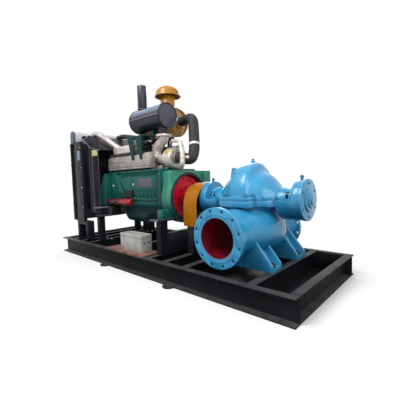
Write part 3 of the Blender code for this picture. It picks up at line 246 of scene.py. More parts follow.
class Finish:
    """One procedural material on a Principled shader."""

    def __init__(self, name):
        self.material = bpy.data.materials.new(name)
        self.material.use_nodes = True
        self.tree = self.material.node_tree
        self.tree.nodes.clear()
        self.shader = self.tree.nodes.new("ShaderNodeBsdfPrincipled")
        self.output = self.tree.nodes.new("ShaderNodeOutputMaterial")
        self.tree.links.new(self.shader.outputs[0], self.output.inputs[0])
        self.place = self.node("ShaderNodeTexCoord", out="Object")

    def feed(self, socket, value):
        """Link a wire to a socket, or set a plain value on it."""
        if isinstance(value, Wire):
            self.tree.links.new(value.socket, socket)
        elif hasattr(value, "__len__") and socket.type == "RGBA" and len(value) == 3:
            socket.default_value = (*value, 1.0)
        else:
            socket.default_value = value

    def node(self, kind, settings=None, sockets=None, out=0):
        """Add one node: its settings first, then its sockets; gives back one output."""
        made = self.tree.nodes.new(kind)
        for name, value in (settings or {}).items():
            setattr(made, name, value)
        for name, value in (sockets or {}).items():
            self.feed(made.inputs[name], value)
        return Wire(self, made.outputs[out])

    def set(self, **values):
        """Set or link sockets of the shader, with underscores for spaces."""
        for name, value in values.items():
            self.feed(self.shader.inputs[name.replace("_", " ")], value)
        return self

    def noise(self, scale, detail=3.0, place=None, roughness=0.5):
        """Cloudy noise on the object's own coordinates."""
        sockets = {"Vector": place or self.place, "Scale": scale, "Detail": detail, "Roughness": roughness}
        return self.node("ShaderNodeTexNoise", None, sockets)

    def stretched(self, factors):
        """Object coordinates scaled by a factor on each axis."""
        return self.node("ShaderNodeVectorMath", {"operation": "MULTIPLY"}, {0: self.place, 1: factors})

    def axis(self, name):
        """One coordinate of the place on the object."""
        return self.node("ShaderNodeSeparateXYZ", None, {0: self.place}, out=name)

    def upward(self, start=0.55, end=0.95):
        """How far the surface faces up, for dust that has settled."""
        facing = self.node("ShaderNodeNewGeometry", out="Normal")
        return self.node("ShaderNodeSeparateXYZ", None, {0: facing}, out="Z").ramp(start, end)

    def blend(self, share, first, second):
        """Mix two colours."""
        return self.node("ShaderNodeMix", {"data_type": "RGBA"}, {0: share, 6: first, 7: second}, out=2)

    def painted(self):
        """What feeds the colour so far."""
        return Wire(self, self.shader.inputs["Base Color"].links[0].from_socket)

    def bumps(self, *heights):
        """Feed the shader's normal from (height, depth in metres) pairs, one on another."""
        normal = None
        for height, depth in heights:
            sockets = {"Height": height, "Distance": depth, "Strength": 1.0}
            if normal is not None:
                sockets["Normal"] = normal
            normal = self.node("ShaderNodeBump", None, sockets)
        return self.set(Normal=normal)


def shade(colour, factor):
    """A colour made darker or lighter."""
    return tuple(min(1.0, part * factor) for part in colour)


DUST = screen(112, 110, 110)
PRIMER = screen(62, 44, 40)
FINISHES = {}


def enamel(name, colour, rough=0.34, coat=0.25, mottle=0.16, dust=0.0, cast=0.0, chips=0.0, runs=0.15,
           gloss=0.3, under=1.0):
    """Brushed or sprayed enamel with uneven tone, dirt runs, settled dust and chipped spots; with under below
    1, painted shade darkens the faces that turn down or sideways.
    """
    finish = Finish(name)
    broad = finish.noise(3.2, 3.0).ramp(0.30, 0.70)
    cloud = finish.noise(17.0, 4.0).ramp(0.32, 0.68)
    tone = finish.blend(broad, shade(colour, 1.0 - mottle), shade(colour, 1.0 + mottle * 0.8))
    tone = finish.blend(cloud * (mottle * 0.9), tone, shade(colour, 0.62))
    run = finish.noise(1.0, 4.0, finish.stretched((26.0, 26.0, 2.4)), 0.6).ramp(0.54, 0.78)
    tone = finish.blend(run * runs, tone, shade(colour, 0.35))
    roughness = rough + (cloud - 0.5) * 0.10 + run * 0.10
    # Painted shade: faces that turn down or sideways take a deeper, bluer copy of the colour, as if lit from
    # above.
    if under < 1.0:
        deep = (colour[0] * under * 0.5, colour[1] * under * 0.85, colour[2] * under * 1.15)
        tone = finish.blend(finish.upward(-0.75, 0.25), deep, tone)
    if dust:
        grain = finish.noise(9.0, 5.0, roughness=0.7).ramp(0.25, 0.75, 0.35, 1.0)
        settled = finish.upward() * grain * dust
        tone = finish.blend(settled, tone, DUST)
        roughness = roughness + settled * 0.35
    if chips:
        spots = finish.noise(95.0, 3.0, roughness=0.65).ramp(0.70 - chips, 0.72 - chips)
        tone = finish.blend(spots * 0.8, tone, PRIMER)
        roughness = roughness + spots * 0.25
    finish.set(Base_Color=tone, Roughness=roughness, Coat_Weight=coat)
    finish.shader.inputs["Coat Roughness"].default_value = 0.12
    finish.shader.inputs["Specular IOR Level"].default_value = gloss
    finish.bumps((finish.noise(240.0, 2.0), 0.0005 + cast * 0.4), (finish.noise(42.0, 3.0), 0.0008 + cast))
    return finish


def pump_enamel():
    """Glossy light blue enamel on cast iron."""
    # The under setting paints shade on the casing's downward and side faces.
    return enamel("pump_blue", colours().pump_blue[:], rough=0.26, coat=0.4, mottle=0.13, cast=0.0012,
                  dust=0.08, chips=0.012, runs=0.10, gloss=0.4, under=0.42)


def casing_enamel():
    """The pump's enamel, and the bores' red primer where the nozzles are hollow."""
    finish = pump_enamel()
    finish.material.name = "casing_blue"
    across = finish.axis("X") - PUMP_X
    along = finish.axis("Y")
    up = finish.axis("Z")
    bores = []
    for side, height, bore in ((-1, SUCTION_Z, SUCTION_BORE), (1, DISCHARGE_Z, DISCHARGE_BORE)):
        above = up - height
        radius = (across * across + above * above) ** 0.5
        deep = along.ramp(side * (BORE_START - 0.01), side * (BORE_START + 0.01))
        bores.append(radius.ramp(bore + 0.0005, bore - 0.0005) * deep)
    inside = bores[0].most(bores[1])
    patchy = finish.noise(14.0, 4.0).ramp(0.3, 0.7)
    red = finish.blend(patchy, shade(colours().bore_red, 0.55), colours().bore_red[:])
    return finish.set(Base_Color=finish.blend(inside, finish.painted(), red))


def cast_metal(name, colour, rough=0.42, metal=0.75, stain=0.35, heat=0.0):
    """Bare cast metal with a sand skin and brown heat stains."""
    finish = Finish(name)
    cloud = finish.noise(11.0, 5.0, roughness=0.62).ramp(0.30, 0.72)
    tone = finish.blend(cloud, shade(colour, 0.72), shade(colour, 1.08))
    patch = finish.noise(26.0, 4.0).ramp(0.48, 0.70)
    tone = finish.blend(patch * stain, tone, shade(screen(118, 96, 76), 0.8))
    if heat:
        blue = finish.noise(4.0, 2.0).ramp(0.45, 0.65)
        tone = finish.blend(blue * heat, tone, screen(86, 84, 112))
    settled = finish.upward() * finish.noise(12.0, 4.0).ramp(0.3, 0.7)
    tone = finish.blend(settled * 0.22, tone, DUST)
    finish.set(Base_Color=tone, Roughness=rough + (cloud - 0.5) * 0.16 + patch * 0.12,
               Metallic=metal - patch * 0.25)
    return finish.bumps((finish.noise(320.0, 2.0), 0.0010), (finish.noise(60.0, 2.0), 0.0010))


def brushed_steel():
    """Turned or ground steel with fine marks round the shaft."""
    finish = Finish("bright_steel")
    marks = finish.noise(1.0, 4.0, finish.stretched((900.0, 60.0, 60.0)), 0.7)
    cloud = finish.noise(20.0, 3.0).ramp(0.35, 0.7)
    tone = finish.blend(cloud, screen(168, 168, 172), screen(128, 126, 126))
    finish.set(Base_Color=tone, Roughness=0.22 + marks * 0.16, Metallic=1.0)
    return finish.bumps((marks, 0.0002))


def zinc():
    """Dull plated steel of nuts, bolts and clips."""
    finish = Finish("zinc")
    spangle = finish.noise(130.0, 3.0).ramp(0.35, 0.65)
    tone = finish.blend(spangle, screen(150, 142, 140), screen(196, 188, 184))
    rust = finish.noise(48.0, 4.0).ramp(0.60, 0.76)
    tone = finish.blend(rust * 0.5, tone, screen(112, 66, 42))
    finish.set(Base_Color=tone, Roughness=0.36 + rust * 0.3, Metallic=0.85 - rust * 0.5)
    return finish.bumps((spangle, 0.0003))


def rubber(name="hose_black", colour=None):
    """Matt black rubber with a fine cloth imprint."""
    finish = Finish(name)
    cloud = finish.noise(15.0, 4.0).ramp(0.3, 0.75)
    tone = finish.blend(cloud, colour or screen(24, 23, 28), screen(42, 40, 47))
    settled = finish.upward() * 0.16
    tone = finish.blend(settled, tone, DUST)
    weave = finish.noise(420.0, 1.0)
    finish.set(Base_Color=tone, Roughness=0.62 + cloud * 0.14)
    return finish.bumps((weave, 0.0006))


def heatproof():
    """Blue-black heatproof paint on the muffler, worn to a dull metal sheen, with painted shade on its lower
    side and a painted pale highlight along its top.
    """
    finish = Finish("muffler_grey")
    cloud = finish.noise(6.0, 4.0).ramp(0.28, 0.72)
    tone = finish.blend(cloud, screen(54, 55, 68), screen(72, 73, 88))
    streak = finish.noise(1.0, 4.0, finish.stretched((3.0, 40.0, 40.0)), 0.6).ramp(0.50, 0.72)
    tone = finish.blend(streak * 0.25, tone, screen(98, 98, 114))
    speck = finish.noise(70.0, 4.0).ramp(0.66, 0.74)
    tone = finish.blend(speck * 0.3, tone, screen(94, 66, 52))
    # Painted shade on faces that turn down, then a painted pale blue highlight on faces that turn up.
    tone = finish.blend(finish.upward(-0.1, 0.35), shade(screen(54, 54, 66), 0.62), tone)
    tone = finish.blend(finish.upward(0.15, 0.75) * 0.8, tone, screen(142, 160, 184))
    finish.set(Base_Color=tone, Roughness=0.30 + cloud * 0.12 + speck * 0.25, Metallic=0.35 - speck * 0.2)
    return finish.bumps((finish.noise(190.0, 2.0), 0.0006))


def fin_grey():
    """Radiator core: fine fins in rows between flat tubes."""
    finish = Finish("radiator_grey")
    rows = (finish.axis("Z") * (2.0 * math.pi / 0.009)).wave()
    tubes = (finish.axis("Y") * (2.0 * math.pi / 0.024)).wave().ramp(0.55, 0.85)
    cloud = finish.noise(9.0, 4.0).ramp(0.3, 0.7)
    tone = finish.blend(rows.ramp(-0.6, 0.6), screen(30, 30, 35), screen(88, 86, 94))
    tone = finish.blend(tubes, tone, screen(104, 102, 110))
    tone = finish.blend(cloud * 0.3, tone, screen(70, 62, 54))
    finish.set(Base_Color=tone, Roughness=0.52 + cloud * 0.15, Metallic=0.35)
    return finish.bumps((rows.ramp(-0.6, 0.6), 0.002), (tubes, 0.002))


def tank_paint():
    """Pale paint on the radiator's top tank, and blue at its two ends."""
    finish = enamel("top_tank", screen(206, 207, 212), rough=0.34, coat=0.2, mottle=0.1, runs=0.1)
    end = high("top_tank").y
    ends = finish.axis("Y").size().ramp(end - 0.025, end - 0.015)
    return finish.set(Base_Color=finish.blend(ends, finish.painted(), screen(52, 74, 100)))


def housing_paint():
    """Pale green on the flywheel housing, going dark towards its feet and its joint with the block."""
    pale, dark = colours().pale_green[:], shade(colours().engine_green[:], 1.05)
    # The under setting paints shade on the housing's downward and side faces.
    finish = enamel("housing_green", pale, rough=0.38, coat=0.2, cast=0.0010, chips=0.02, runs=0.3,
                    gloss=0.25, under=0.4)
    step = low("flywheel_housing").x + 0.1027
    low_down = finish.axis("Z").ramp(SHAFT_Z, SHAFT_Z - 0.14)
    joint = finish.axis("X").ramp(step + 0.003, step - 0.003) * 0.55
    return finish.set(Base_Color=finish.blend(low_down.most(joint), finish.painted(), dark))


def rusty_board():
    """Steel plate gone brown, with paler worn patches and grit."""
    finish = Finish("board_brown")
    cloud = finish.noise(12.0, 6.0, roughness=0.68).ramp(0.30, 0.70)
    tone = finish.blend(cloud, screen(92, 60, 50), screen(146, 112, 98))
    grit = finish.noise(80.0, 4.0).ramp(0.52, 0.70)
    tone = finish.blend(grit * 0.55, tone, screen(62, 42, 36))
    finish.set(Base_Color=tone, Roughness=0.72 + grit * 0.15, Metallic=0.15)
    return finish.bumps((finish.noise(150.0, 4.0), 0.0008))


def moulded_plastic():
    """Grainy moulded plastic of the battery box, scuffed and dusty."""
    finish = Finish("box_grey")
    colour = colours().box_grey[:]
    cloud = finish.noise(8.0, 5.0).ramp(0.3, 0.72)
    tone = finish.blend(cloud, shade(colour, 0.80), shade(colour, 1.06))
    scuff = finish.noise(1.0, 4.0, finish.stretched((60.0, 60.0, 9.0)), 0.7).ramp(0.58, 0.76)
    tone = finish.blend(scuff * 0.45, tone, screen(116, 96, 82))
    tone = finish.blend(finish.upward() * 0.3, tone, DUST)
    finish.set(Base_Color=tone, Roughness=0.52 + scuff * 0.2)
    return finish.bumps((finish.noise(500.0, 2.0), 0.0007))


def plain_tag(name, colour, metal=0.0):
    """A bare plate or tag with a slightly worn face."""
    finish = Finish(name)
    cloud = finish.noise(60.0, 4.0).ramp(0.35, 0.75)
    tone = finish.blend(cloud * 0.6, colour, shade(colour, 0.72))
    finish.set(Base_Color=tone, Roughness=0.36 + cloud * 0.2, Metallic=metal)
    return finish.bumps((finish.noise(300.0, 2.0), 0.0002))


def enamels():
    """Colour and manner of each finish that is plain enamel, by name."""
    paint = colours()
    # Each under below 1 paints shade on the faces that turn down or sideways.
    return {
        "nut_blue": (shade(paint.pump_blue, 0.62), dict(rough=0.34, coat=0.3, chips=0.05)),
        "engine_green": (paint.engine_green[:], dict(rough=0.36, coat=0.15, mottle=0.22, cast=0.0010,
                                                     dust=0.08, chips=0.02, runs=0.3, gloss=0.18, under=0.5)),
        "nut_green": (shade(paint.engine_green, 0.75), dict(rough=0.4, coat=0.2, chips=0.05)),
        "bracket_green": (shade(paint.engine_green, 0.45), dict(rough=0.4, coat=0.1, gloss=0.15)),
        "pale_green": (paint.pale_green[:], dict(rough=0.38, coat=0.2, mottle=0.22, cast=0.0010, dust=0.05,
                                                 chips=0.02, runs=0.3, gloss=0.25, under=0.4)),
        "pan_green": (paint.pan_green[:], dict(rough=0.4, coat=0.1, mottle=0.25, cast=0.0006, chips=0.02,
                                               runs=0.3, gloss=0.15, under=0.6)),
        "flywheel_red": (paint.flywheel_red[:], dict(rough=0.34, coat=0.15, mottle=0.16, cast=0.0006,
                                                     chips=0.05, gloss=0.2)),
        "guard_yellow": (paint.guard_yellow[:], dict(rough=0.34, coat=0.1, mottle=0.08, dust=0.05, chips=0.01,
                                                     runs=0.1, gloss=0.12)),
        "cleaner_gold": (paint.cleaner_gold[:], dict(rough=0.28, coat=0.4, mottle=0.18, dust=0.10, runs=0.2)),
        "cap_shade": (screen(92, 58, 16), dict(rough=0.6, coat=0.0, gloss=0.05)),
        "skid_black": (paint.skid_black[:], dict(rough=0.46, coat=0.0, mottle=0.3, dust=0.34, chips=0.02,
                                                 runs=0.3, gloss=0.10, under=0.6)),
        "satin_black": (paint.satin_black[:], dict(rough=0.42, coat=0.0, mottle=0.28, dust=0.25, chips=0.02,
                                                   runs=0.3, gloss=0.14, under=0.7)),
        "sheet_black": (shade(paint.satin_black, 0.8), dict(rough=0.42, coat=0.0, mottle=0.25, gloss=0.14)),
        "nut_dark": (screen(58, 48, 44), dict(rough=0.5, coat=0.0, chips=0.05)),
        "frame_grey": (screen(36, 34, 40), dict(rough=0.46, coat=0.0, mottle=0.2, dust=0.3, gloss=0.2)),
        "tank_grey": (screen(60, 62, 74), dict(rough=0.36, coat=0.2, mottle=0.2, dust=0.25)),
        "end_grey": (screen(82, 82, 93), dict(rough=0.4, coat=0.1, mottle=0.08)),
        "wire_grey": (screen(74, 68, 78), dict(rough=0.4, coat=0.0, mottle=0.2, gloss=0.2)),
        "filter_red": (paint.filter_red[:], dict(rough=0.3, coat=0.3, dust=0.15, chips=0.02)),
        "filter_maroon": (shade(paint.filter_red, 0.34), dict(rough=0.34, coat=0.1)),
    }


# What each other recipe takes after the finish's own name.

TAGS = {
    "pad_grey": (screen(112, 116, 112),),
    "gold_plate": (screen(206, 170, 52), 0.2),
    "yellow_tag": (screen(206, 198, 138),),
    "blue_tag": (screen(112, 140, 168),),
    "dark_plate": (screen(92, 86, 98), 0.3),
    "band_white": (screen(236, 236, 232),),
    "seam_grey": (screen(128, 128, 140), 0.5),
    "edge_grey": (screen(158, 150, 168), 0.2),
}
CASTINGS = {
    "duct_silver": (screen(216, 208, 200), 0.34, 0.5, 0.10),
    "cast_silver": (screen(176, 170, 164), 0.42, 0.5, 0.22),
    "hot_iron": (screen(150, 142, 138), 0.5, 0.6, 0.6, 0.3),
}
RUBBERS = {"hose_black": (), "belt_black": (screen(20, 20, 22),)}
SPECIAL = {
    "pump_blue": pump_enamel,
    "casing_blue": casing_enamel,
    "housing_green": housing_paint,
    "bright_steel": brushed_steel,
    "zinc": zinc,
    "muffler_grey": heatproof,
    "radiator_grey": fin_grey,
    "top_tank": tank_paint,
    "board_brown": rusty_board,
    "box_grey": moulded_plastic,
}


def make_finish(name):
    """Make one finish from its recipe."""
    if name in SPECIAL:
        return SPECIAL[name]()
    for recipe, table in ((plain_tag, TAGS), (cast_metal, CASTINGS), (rubber, RUBBERS)):
        if name in table:
            return recipe(name, *table[name])
    colour, manner = enamels()[name]
    return enamel(name, colour, **manner)


def finish_of(name):
    """Make a finish the first time it is asked for, and keep it."""
    if name not in FINISHES:
        FINISHES[name] = make_finish(name)
    return FINISHES[name].material


# Tools of the bench: small steps that shape one piece at a time.

def only(*things):
    """Select these objects and nothing else."""
    bpy.ops.object.select_all(action="DESELECT")
    for thing in things:
        thing.select_set(True)
    bpy.context.view_layer.objects.active = things[0]
    return things[0]


def settle():
    """Put the active object's place into its mesh."""
    bpy.ops.object.transform_apply(location=True, rotation=True, scale=True)
    return bpy.context.object


def bar(start, end, radius, tip=None, sides=20):
    """A round bar between two points, tapered if a tip radius is given."""
    start, end = Vector(start), Vector(end)
    run = end - start
    bpy.ops.mesh.primitive_cone_add(vertices=sides, radius1=radius, radius2=radius if tip is None else tip,
                                    depth=run.length, location=(start + end) / 2,
                                    rotation=run.to_track_quat("Z", "Y").to_euler())
    return settle()


def slab(first, second, edge=0.0, segments=2):
    """A block between two corners, its edges rounded."""
    first, second = Vector(first), Vector(second)
    size = second - first
    bpy.ops.mesh.primitive_cube_add(size=1.0, location=(first + second) / 2,
                                    scale=[abs(part) for part in size])
    thing = settle()
    return rounded(thing, edge, segments) if edge else thing


def rounded(thing, edge, segments=2, angle=35.0):
    """Round the sharp edges with a bevel."""
    only(thing)
    bevel = thing.modifiers.new("edge", "BEVEL")
    bevel.width = edge
    bevel.segments = segments
    bevel.limit_method = "ANGLE"
    bevel.angle_limit = math.radians(angle)
    bpy.ops.object.modifier_apply(modifier="edge")
    return thing


def shape(thing, test, *steps):
    """Select the faces whose centre and normal pass the test, and run steps on them."""
    only(thing)
    bpy.ops.object.mode_set(mode="EDIT")
    bpy.ops.mesh.select_mode(type="FACE")
    bpy.ops.mesh.select_all(action="DESELECT")
    bpy.ops.object.mode_set(mode="OBJECT")
    for face in thing.data.polygons:
        face.select = bool(test(face.center, face.normal))
    bpy.ops.object.mode_set(mode="EDIT")
    for step in steps:
        step()
    bpy.ops.object.mode_set(mode="OBJECT")
    return thing


def inset(width):
    """Draw the selection's border in."""
    return lambda: bpy.ops.mesh.inset(thickness=width, depth=0.0)


def pull(offset):
    """Extrude the selection along an offset."""
    return lambda: bpy.ops.mesh.extrude_region_move(TRANSFORM_OT_translate={"value": tuple(offset)})


def swell(factor, centre):
    """Scale the selection about a centre."""
    factors = (factor,) * 3 if isinstance(factor, float) else factor
    return lambda: bpy.ops.transform.resize(value=factors, center_override=tuple(centre))


def closed(thing):
    """Merge doubled points and turn every face outwards."""
    only(thing)
    bpy.ops.object.mode_set(mode="EDIT")
    bpy.ops.mesh.select_all(action="SELECT")
    bpy.ops.mesh.remove_doubles(threshold=MERGE)
    bpy.ops.mesh.normals_make_consistent(inside=False)
    bpy.ops.object.mode_set(mode="OBJECT")
    return thing


def turned(profile, centre, axis=X, sides=32):
    """Turn (along, radius) points: a disc extruded and resized ring by ring."""
    centre, axis = Vector(centre), Vector(axis)
    along, radius = profile[0]
    spin = axis.to_track_quat("Z", "Y").to_euler()
    bpy.ops.mesh.primitive_circle_add(vertices=sides, radius=radius, fill_type="NGON", rotation=spin,
                                      location=centre + axis * along)
    thing = settle()
    bpy.ops.object.mode_set(mode="EDIT")
    bpy.ops.mesh.select_all(action="SELECT")
    for step, size in profile[1:]:
        pull(axis * (step - along))()
        if abs(size - radius) > 1e-7:
            swell(size / radius, centre + axis * step)()
        along, radius = step, size
    bpy.ops.object.mode_set(mode="OBJECT")
    bpy.ops.object.mode_set(mode="EDIT")
    bpy.ops.mesh.select_all(action="SELECT")
    bpy.ops.mesh.normals_make_consistent(inside=False)
    bpy.ops.object.mode_set(mode="OBJECT")
    return thing


def ring(centre, axis, radius, thick, sides=40, minor=8):
    """A round ring such as a clamp, seam or weld bead."""
    spin = Vector(axis).to_track_quat("Z", "Y").to_euler()
    bpy.ops.mesh.primitive_torus_add(major_radius=radius, minor_radius=thick, major_segments=sides,
                                     minor_segments=minor, location=centre, rotation=spin)
    return settle()


def softened(points, radius, steps=6):
    """A route with its inner corners rounded."""
    route = [Vector(point) for point in points]
    result = [route[0]]
    for before, corner, after in zip(route, route[1:], route[2:]):
        back, ahead = before - corner, after - corner
        trim = min(radius, back.length * 0.49, ahead.length * 0.49)
        start, end = corner + back.normalized() * trim, corner + ahead.normalized() * trim
        for index in range(steps + 1):
            t = index / steps
            result.append(start * (1 - t) ** 2 + corner * 2 * t * (1 - t) + end * t * t)
    result.append(route[-1])
    return result


def pipe(points, radius, bend=0.05, sides=4, steps=6):
    """A round pipe or wire along a route with rounded corners."""
    bpy.ops.object.select_all(action="DESELECT")
    bpy.ops.curve.primitive_nurbs_path_add(location=(0, 0, 0))
    thing = bpy.context.object
    curve = thing.data
    curve.splines.clear()
    route = softened(points, bend, steps)
    spline = curve.splines.new("POLY")
    spline.points.add(len(route) - 1)
    for knot, point in zip(spline.points, route):
        knot.co = (*point, 1.0)
    curve.dimensions = "3D"
    curve.bevel_depth = radius
    curve.bevel_resolution = sides
    curve.use_fill_caps = True
    only(thing)
    bpy.ops.object.convert(target="MESH")
    return closed(bpy.context.object)


def flat_plate(corners, y, thick):
    """A plate that stands at one y, cut to (x, z) corners."""
    bpy.ops.object.select_all(action="DESELECT")
    bpy.ops.mesh.primitive_circle_add(vertices=len(corners), fill_type="NGON")
    thing = settle()
    for vertex, (x, z) in zip(thing.data.vertices, corners):
        vertex.co = (x, y - thick / 2, z)
    shape(thing, lambda c, n: True, pull((0, thick, 0)))
    return closed(thing)


def joined(things):
    """Join several meshes into one object."""
    only(*things)
    if len(things) > 1:
        bpy.ops.object.join()
    return bpy.context.object


def copies(master, places):
    """Copies of a piece modelled at the origin pointing up, one at each (point, direction, turn)."""
    made = []
    for point, direction, turn in places:
        copy = master.copy()
        copy.data = master.data.copy()
        bpy.context.scene.collection.objects.link(copy)
        spin = Vector(direction).to_track_quat("Z", "Y").to_matrix().to_4x4() @ Matrix.Rotation(turn, 4, "Z")
        copy.data.transform(Matrix.Translation(Vector(point)) @ spin)
        made.append(copy)
    bpy.data.objects.remove(master, do_unlink=True)
    return joined(made)


def dress(thing, name, finish, body=STILL, angle=35.0, replaces=()):
    """Give a piece its name, finish and body, and smooth its round faces."""
    thing.name = name
    thing.data.name = name
    thing.data.materials.clear()
    thing.data.materials.append(finish_of(finish))
    only(thing)
    bpy.ops.object.shade_smooth_by_angle(angle=math.radians(angle))
    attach(thing, body)
    if replaces:
        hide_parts(*replaces)
    return thing


def skin(node, finish, edge=0.0, body=STILL, segments=2, angle=35.0):
    """A merged copy of one solid with rounded edges, shown in its place."""
    source = frame["nodes"][node]
    thing = source.copy()
    thing.data = source.data.copy()
    thing.parent = None
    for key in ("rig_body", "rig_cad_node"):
        del thing[key]
    bpy.context.scene.collection.objects.link(thing)
    only(thing)
    bpy.ops.mesh.customdata_custom_splitnormals_clear()
    bpy.ops.object.mode_set(mode="EDIT")
    bpy.ops.mesh.select_all(action="SELECT")
    bpy.ops.mesh.remove_doubles(threshold=MERGE)
    bpy.ops.mesh.dissolve_limited(angle_limit=math.radians(0.6))
    bpy.ops.mesh.normals_make_consistent(inside=False)
    bpy.ops.object.mode_set(mode="OBJECT")
    if edge:
        rounded(thing, edge, segments, angle)
    return dress(thing, node + "_dressed", finish, body, angle, replaces=(node,))


def circle(centre, radius, count, axis=X, start=0.0):
    """Points round a circle that stands across an axis."""
    side = Y if abs(Vector(axis).x) > 0.5 else X
    up = Z if abs(Vector(axis).z) < 0.5 else Y
    points = []
    for index in range(count):
        turn = start + 2.0 * math.pi * index / count
        points.append(Vector(centre) + side * radius * math.cos(turn) + up * radius * math.sin(turn))
    return points


def hex_nut(width, stud=0.0, washer=True):
    """A hexagon nut on a washer with the stud's end above it, pointing up at the origin."""
    radius = width / 2
    height = width * 0.42
    parts = []
    base = 0.0
    if washer:
        parts.append(bar((0, 0, -0.0005), (0, 0, width * 0.07), radius * 1.12, sides=16))
        base = width * 0.06
    nut = bar((0, 0, base), (0, 0, base + height * 0.86), radius, sides=6)
    shape(nut, lambda c, n: n.z > 0.9, pull((0, 0, height * 0.14)), swell(0.90, (0, 0, base + height)))
    parts.append(nut)
    if stud:
        rod = bar((0, 0, base + height * 0.9), (0, 0, base + height + stud), radius * 0.50, sides=12)
        shape(rod, lambda c, n: n.z > 0.9, pull((0, 0, width * 0.03)),
              swell(0.82, (0, 0, base + height + stud)))
        parts.append(rod)
    return joined(parts)


def bolt_set(name, places, width, finish="zinc", body=STILL, stud=0.0, washer=True):
    """Nuts or bolt heads at every place, as one piece."""
    thing = copies(hex_nut(width, stud, washer), places)
    return dress(thing, name, finish, body)


def bolt_circle(centre, radius, count, start=0.0, axis=X):
    """Places for a bolt set round a circle, with the bolts along its axis."""
    return [(point, axis, index) for index, point in enumerate(circle(centre, radius, count, axis, start))]


def paint_nodes(plan):
    """Skins for a plan that gives the nodes of each finish."""
    for finish, nodes in plan.items():
        for node in nodes:
            skin(node, finish, sizes().sheet_round)


# Which solids take which finish.

ENGINE_SKINS = {
    "engine_green": ("engine_block", "timing_case"),
    "housing_green": ("flywheel_housing",),
    "pale_green": ("starter_box",),
    "pan_green": ("oil_pan",),
    "cast_silver": ("intake_cover",),
    "duct_silver": ("charge_pipe", "exhaust_elbow", "turbocharger"),
    "filter_red": ("oil_filter_rear",),
    "filter_maroon": ("oil_filter_front",),
    "satin_black": ("cylinder_heads", "post_front_near", "post_front_far", "rear_support"),
}
DRIVE_SKINS = {"guard_yellow": ("coupling_guard",), "satin_black": ("guard_stand",)}
BOX_SKINS = {"box_grey": ("battery_box",), "board_brown": ("board",)}
RADIATOR_SKINS = {
    "radiator_grey": ("radiator_core",),
    "sheet_black": ("hood_panel", "fan_shroud"),
    "satin_black": ("radiator_leg_near", "radiator_leg_far", "side_frame_near", "side_frame_far"),
}
EXHAUST_SKINS = {
    "bracket_green": ("muffler_bracket", "cleaner_bracket"),
    "muffler_grey": ("muffler", "exhaust_stack"),
    "cleaner_gold": ("air_cleaner", "rain_cap"),
    "hose_black": ("intake_hose",),
}


# Skid.

def skid_skins():
    """Black paint on every channel of the skid."""
    for node in frame["nodes"]:
        if node.startswith(("rail_", "end_beam_", "cross_")):
            skin(node, "skid_black", 0.0018)


def pump_bay_shade_sheet():
    """Black sheet with folded edges in the bays under the pump: painted shade that darkens the floor seen
    through the skid.
    """
    bay = [low(node).x for node in frame["nodes"] if node.startswith("cross_")]
    start = min(x for x in bay if x > PUMP_X - 0.60)
    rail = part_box("rail_near")
    end = low("end_beam_pump").x
    # The black sheet is painted shade for the floor under the pump.
    shade_sheet = slab((start + 0.085, rail[1].y + 0.004, 0.010), (end - 0.004, -rail[1].y - 0.004, 0.016), 0.002)
    shape(shade_sheet, lambda c, n: n.z > 0.9, inset(0.012), pull((0, 0, -0.003)))
    dress(shade_sheet, "pump_bay_shade_sheet", "sheet_black")


def weld_bead(length):
    """One rippled weld bead along +Z from the origin."""
    ripples = 12
    profile = [(0.0, 0.0025)]
    for index in range(1, ripples * 2):
        profile.append((length * index / (ripples * 2), 0.0052 if index % 2 else 0.0040))
    profile.append((length, 0.0025))
    return turned(profile, (0, 0, 0), Z, 8)


def skid_welds():
    """A weld bead up each corner where a cross-member meets a rail."""
    toe = 0.016
    places = []
    for node in frame["nodes"]:
        if node.startswith(("end_beam_", "cross_")):
            corner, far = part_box(node)
            for y in (corner.y, far.y):
                for x in (corner.x, far.x) if node.startswith("end_beam_") else (corner.x, corner.x + 0.007):
                    places.append(((x, y, toe), Z, 0.0))
    dress(copies(weld_bead(high("rail_near").z - 2 * toe), places), "skid_welds", "skid_black")


# Pump.

def pump_skins():
    """Blue enamel on the casing, the brackets and their caps."""
    edge = sizes().casting_round
    skin("casing_lower", "casing_blue", edge)
    skin("casing_upper", "casing_blue", edge)
    for node in ("bearing_bracket_free_end", "bearing_bracket_drive_end", "bearing_cap_free_end",
                 "bearing_cap_drive_end"):
        skin(node, "pump_blue", 0.0022)


def split_outline(grow):
    """Plan of the split flange, drawn in by a margin for its studs."""
    long_x, mid_x, side_y, mid_y, slope = 0.320 + grow, 0.185 + grow, 0.200 + grow, 0.335 + grow, 0.03
    quarter = [(long_x, 0.0), (long_x, side_y - 0.05), (long_x - 0.05, side_y), (mid_x + slope, side_y),
               (mid_x, side_y + slope), (mid_x, mid_y - slope), (mid_x - slope, mid_y), (0.0, mid_y)]
    left = [(-x, y) for x, y in reversed(quarter)]
    half = quarter + left[1:]
    return half + [(x, -y) for x, y in reversed(half)][1:]


def spaced(outline, pitch):
    """Points at even distances along a closed outline."""
    points = [Vector((x, y)) for x, y in outline]
    lengths = [(b - a).length for a, b in zip(points, points[1:])]
    count = round(sum(lengths) / pitch)
    step = sum(lengths) / count
    result = []
    for index in range(count):
        wanted = (index + 0.5) * step
        for start, end, length in zip(points, points[1:], lengths):
            if wanted <= length:
                result.append(start + (end - start) * (wanted / length))
                break
            wanted -= length
    return result


def clear_spot(thing, point, radius, level, way):
    """Whether a ring round the point meets the thing at one level, seen from above (1) or from below (-1)."""
    for index in range(9):
        turn = 2.0 * math.pi * index / 8
        reach = radius if index else 0.0
        start = Vector((point.x + reach * math.cos(turn), point.y + reach * math.sin(turn),
                        level + 0.5 * way))
        hit, place, _, _ = thing.ray_cast(start, -Z * way)
        if not hit or abs(place.z - level) > 0.003:
            return False
    return True


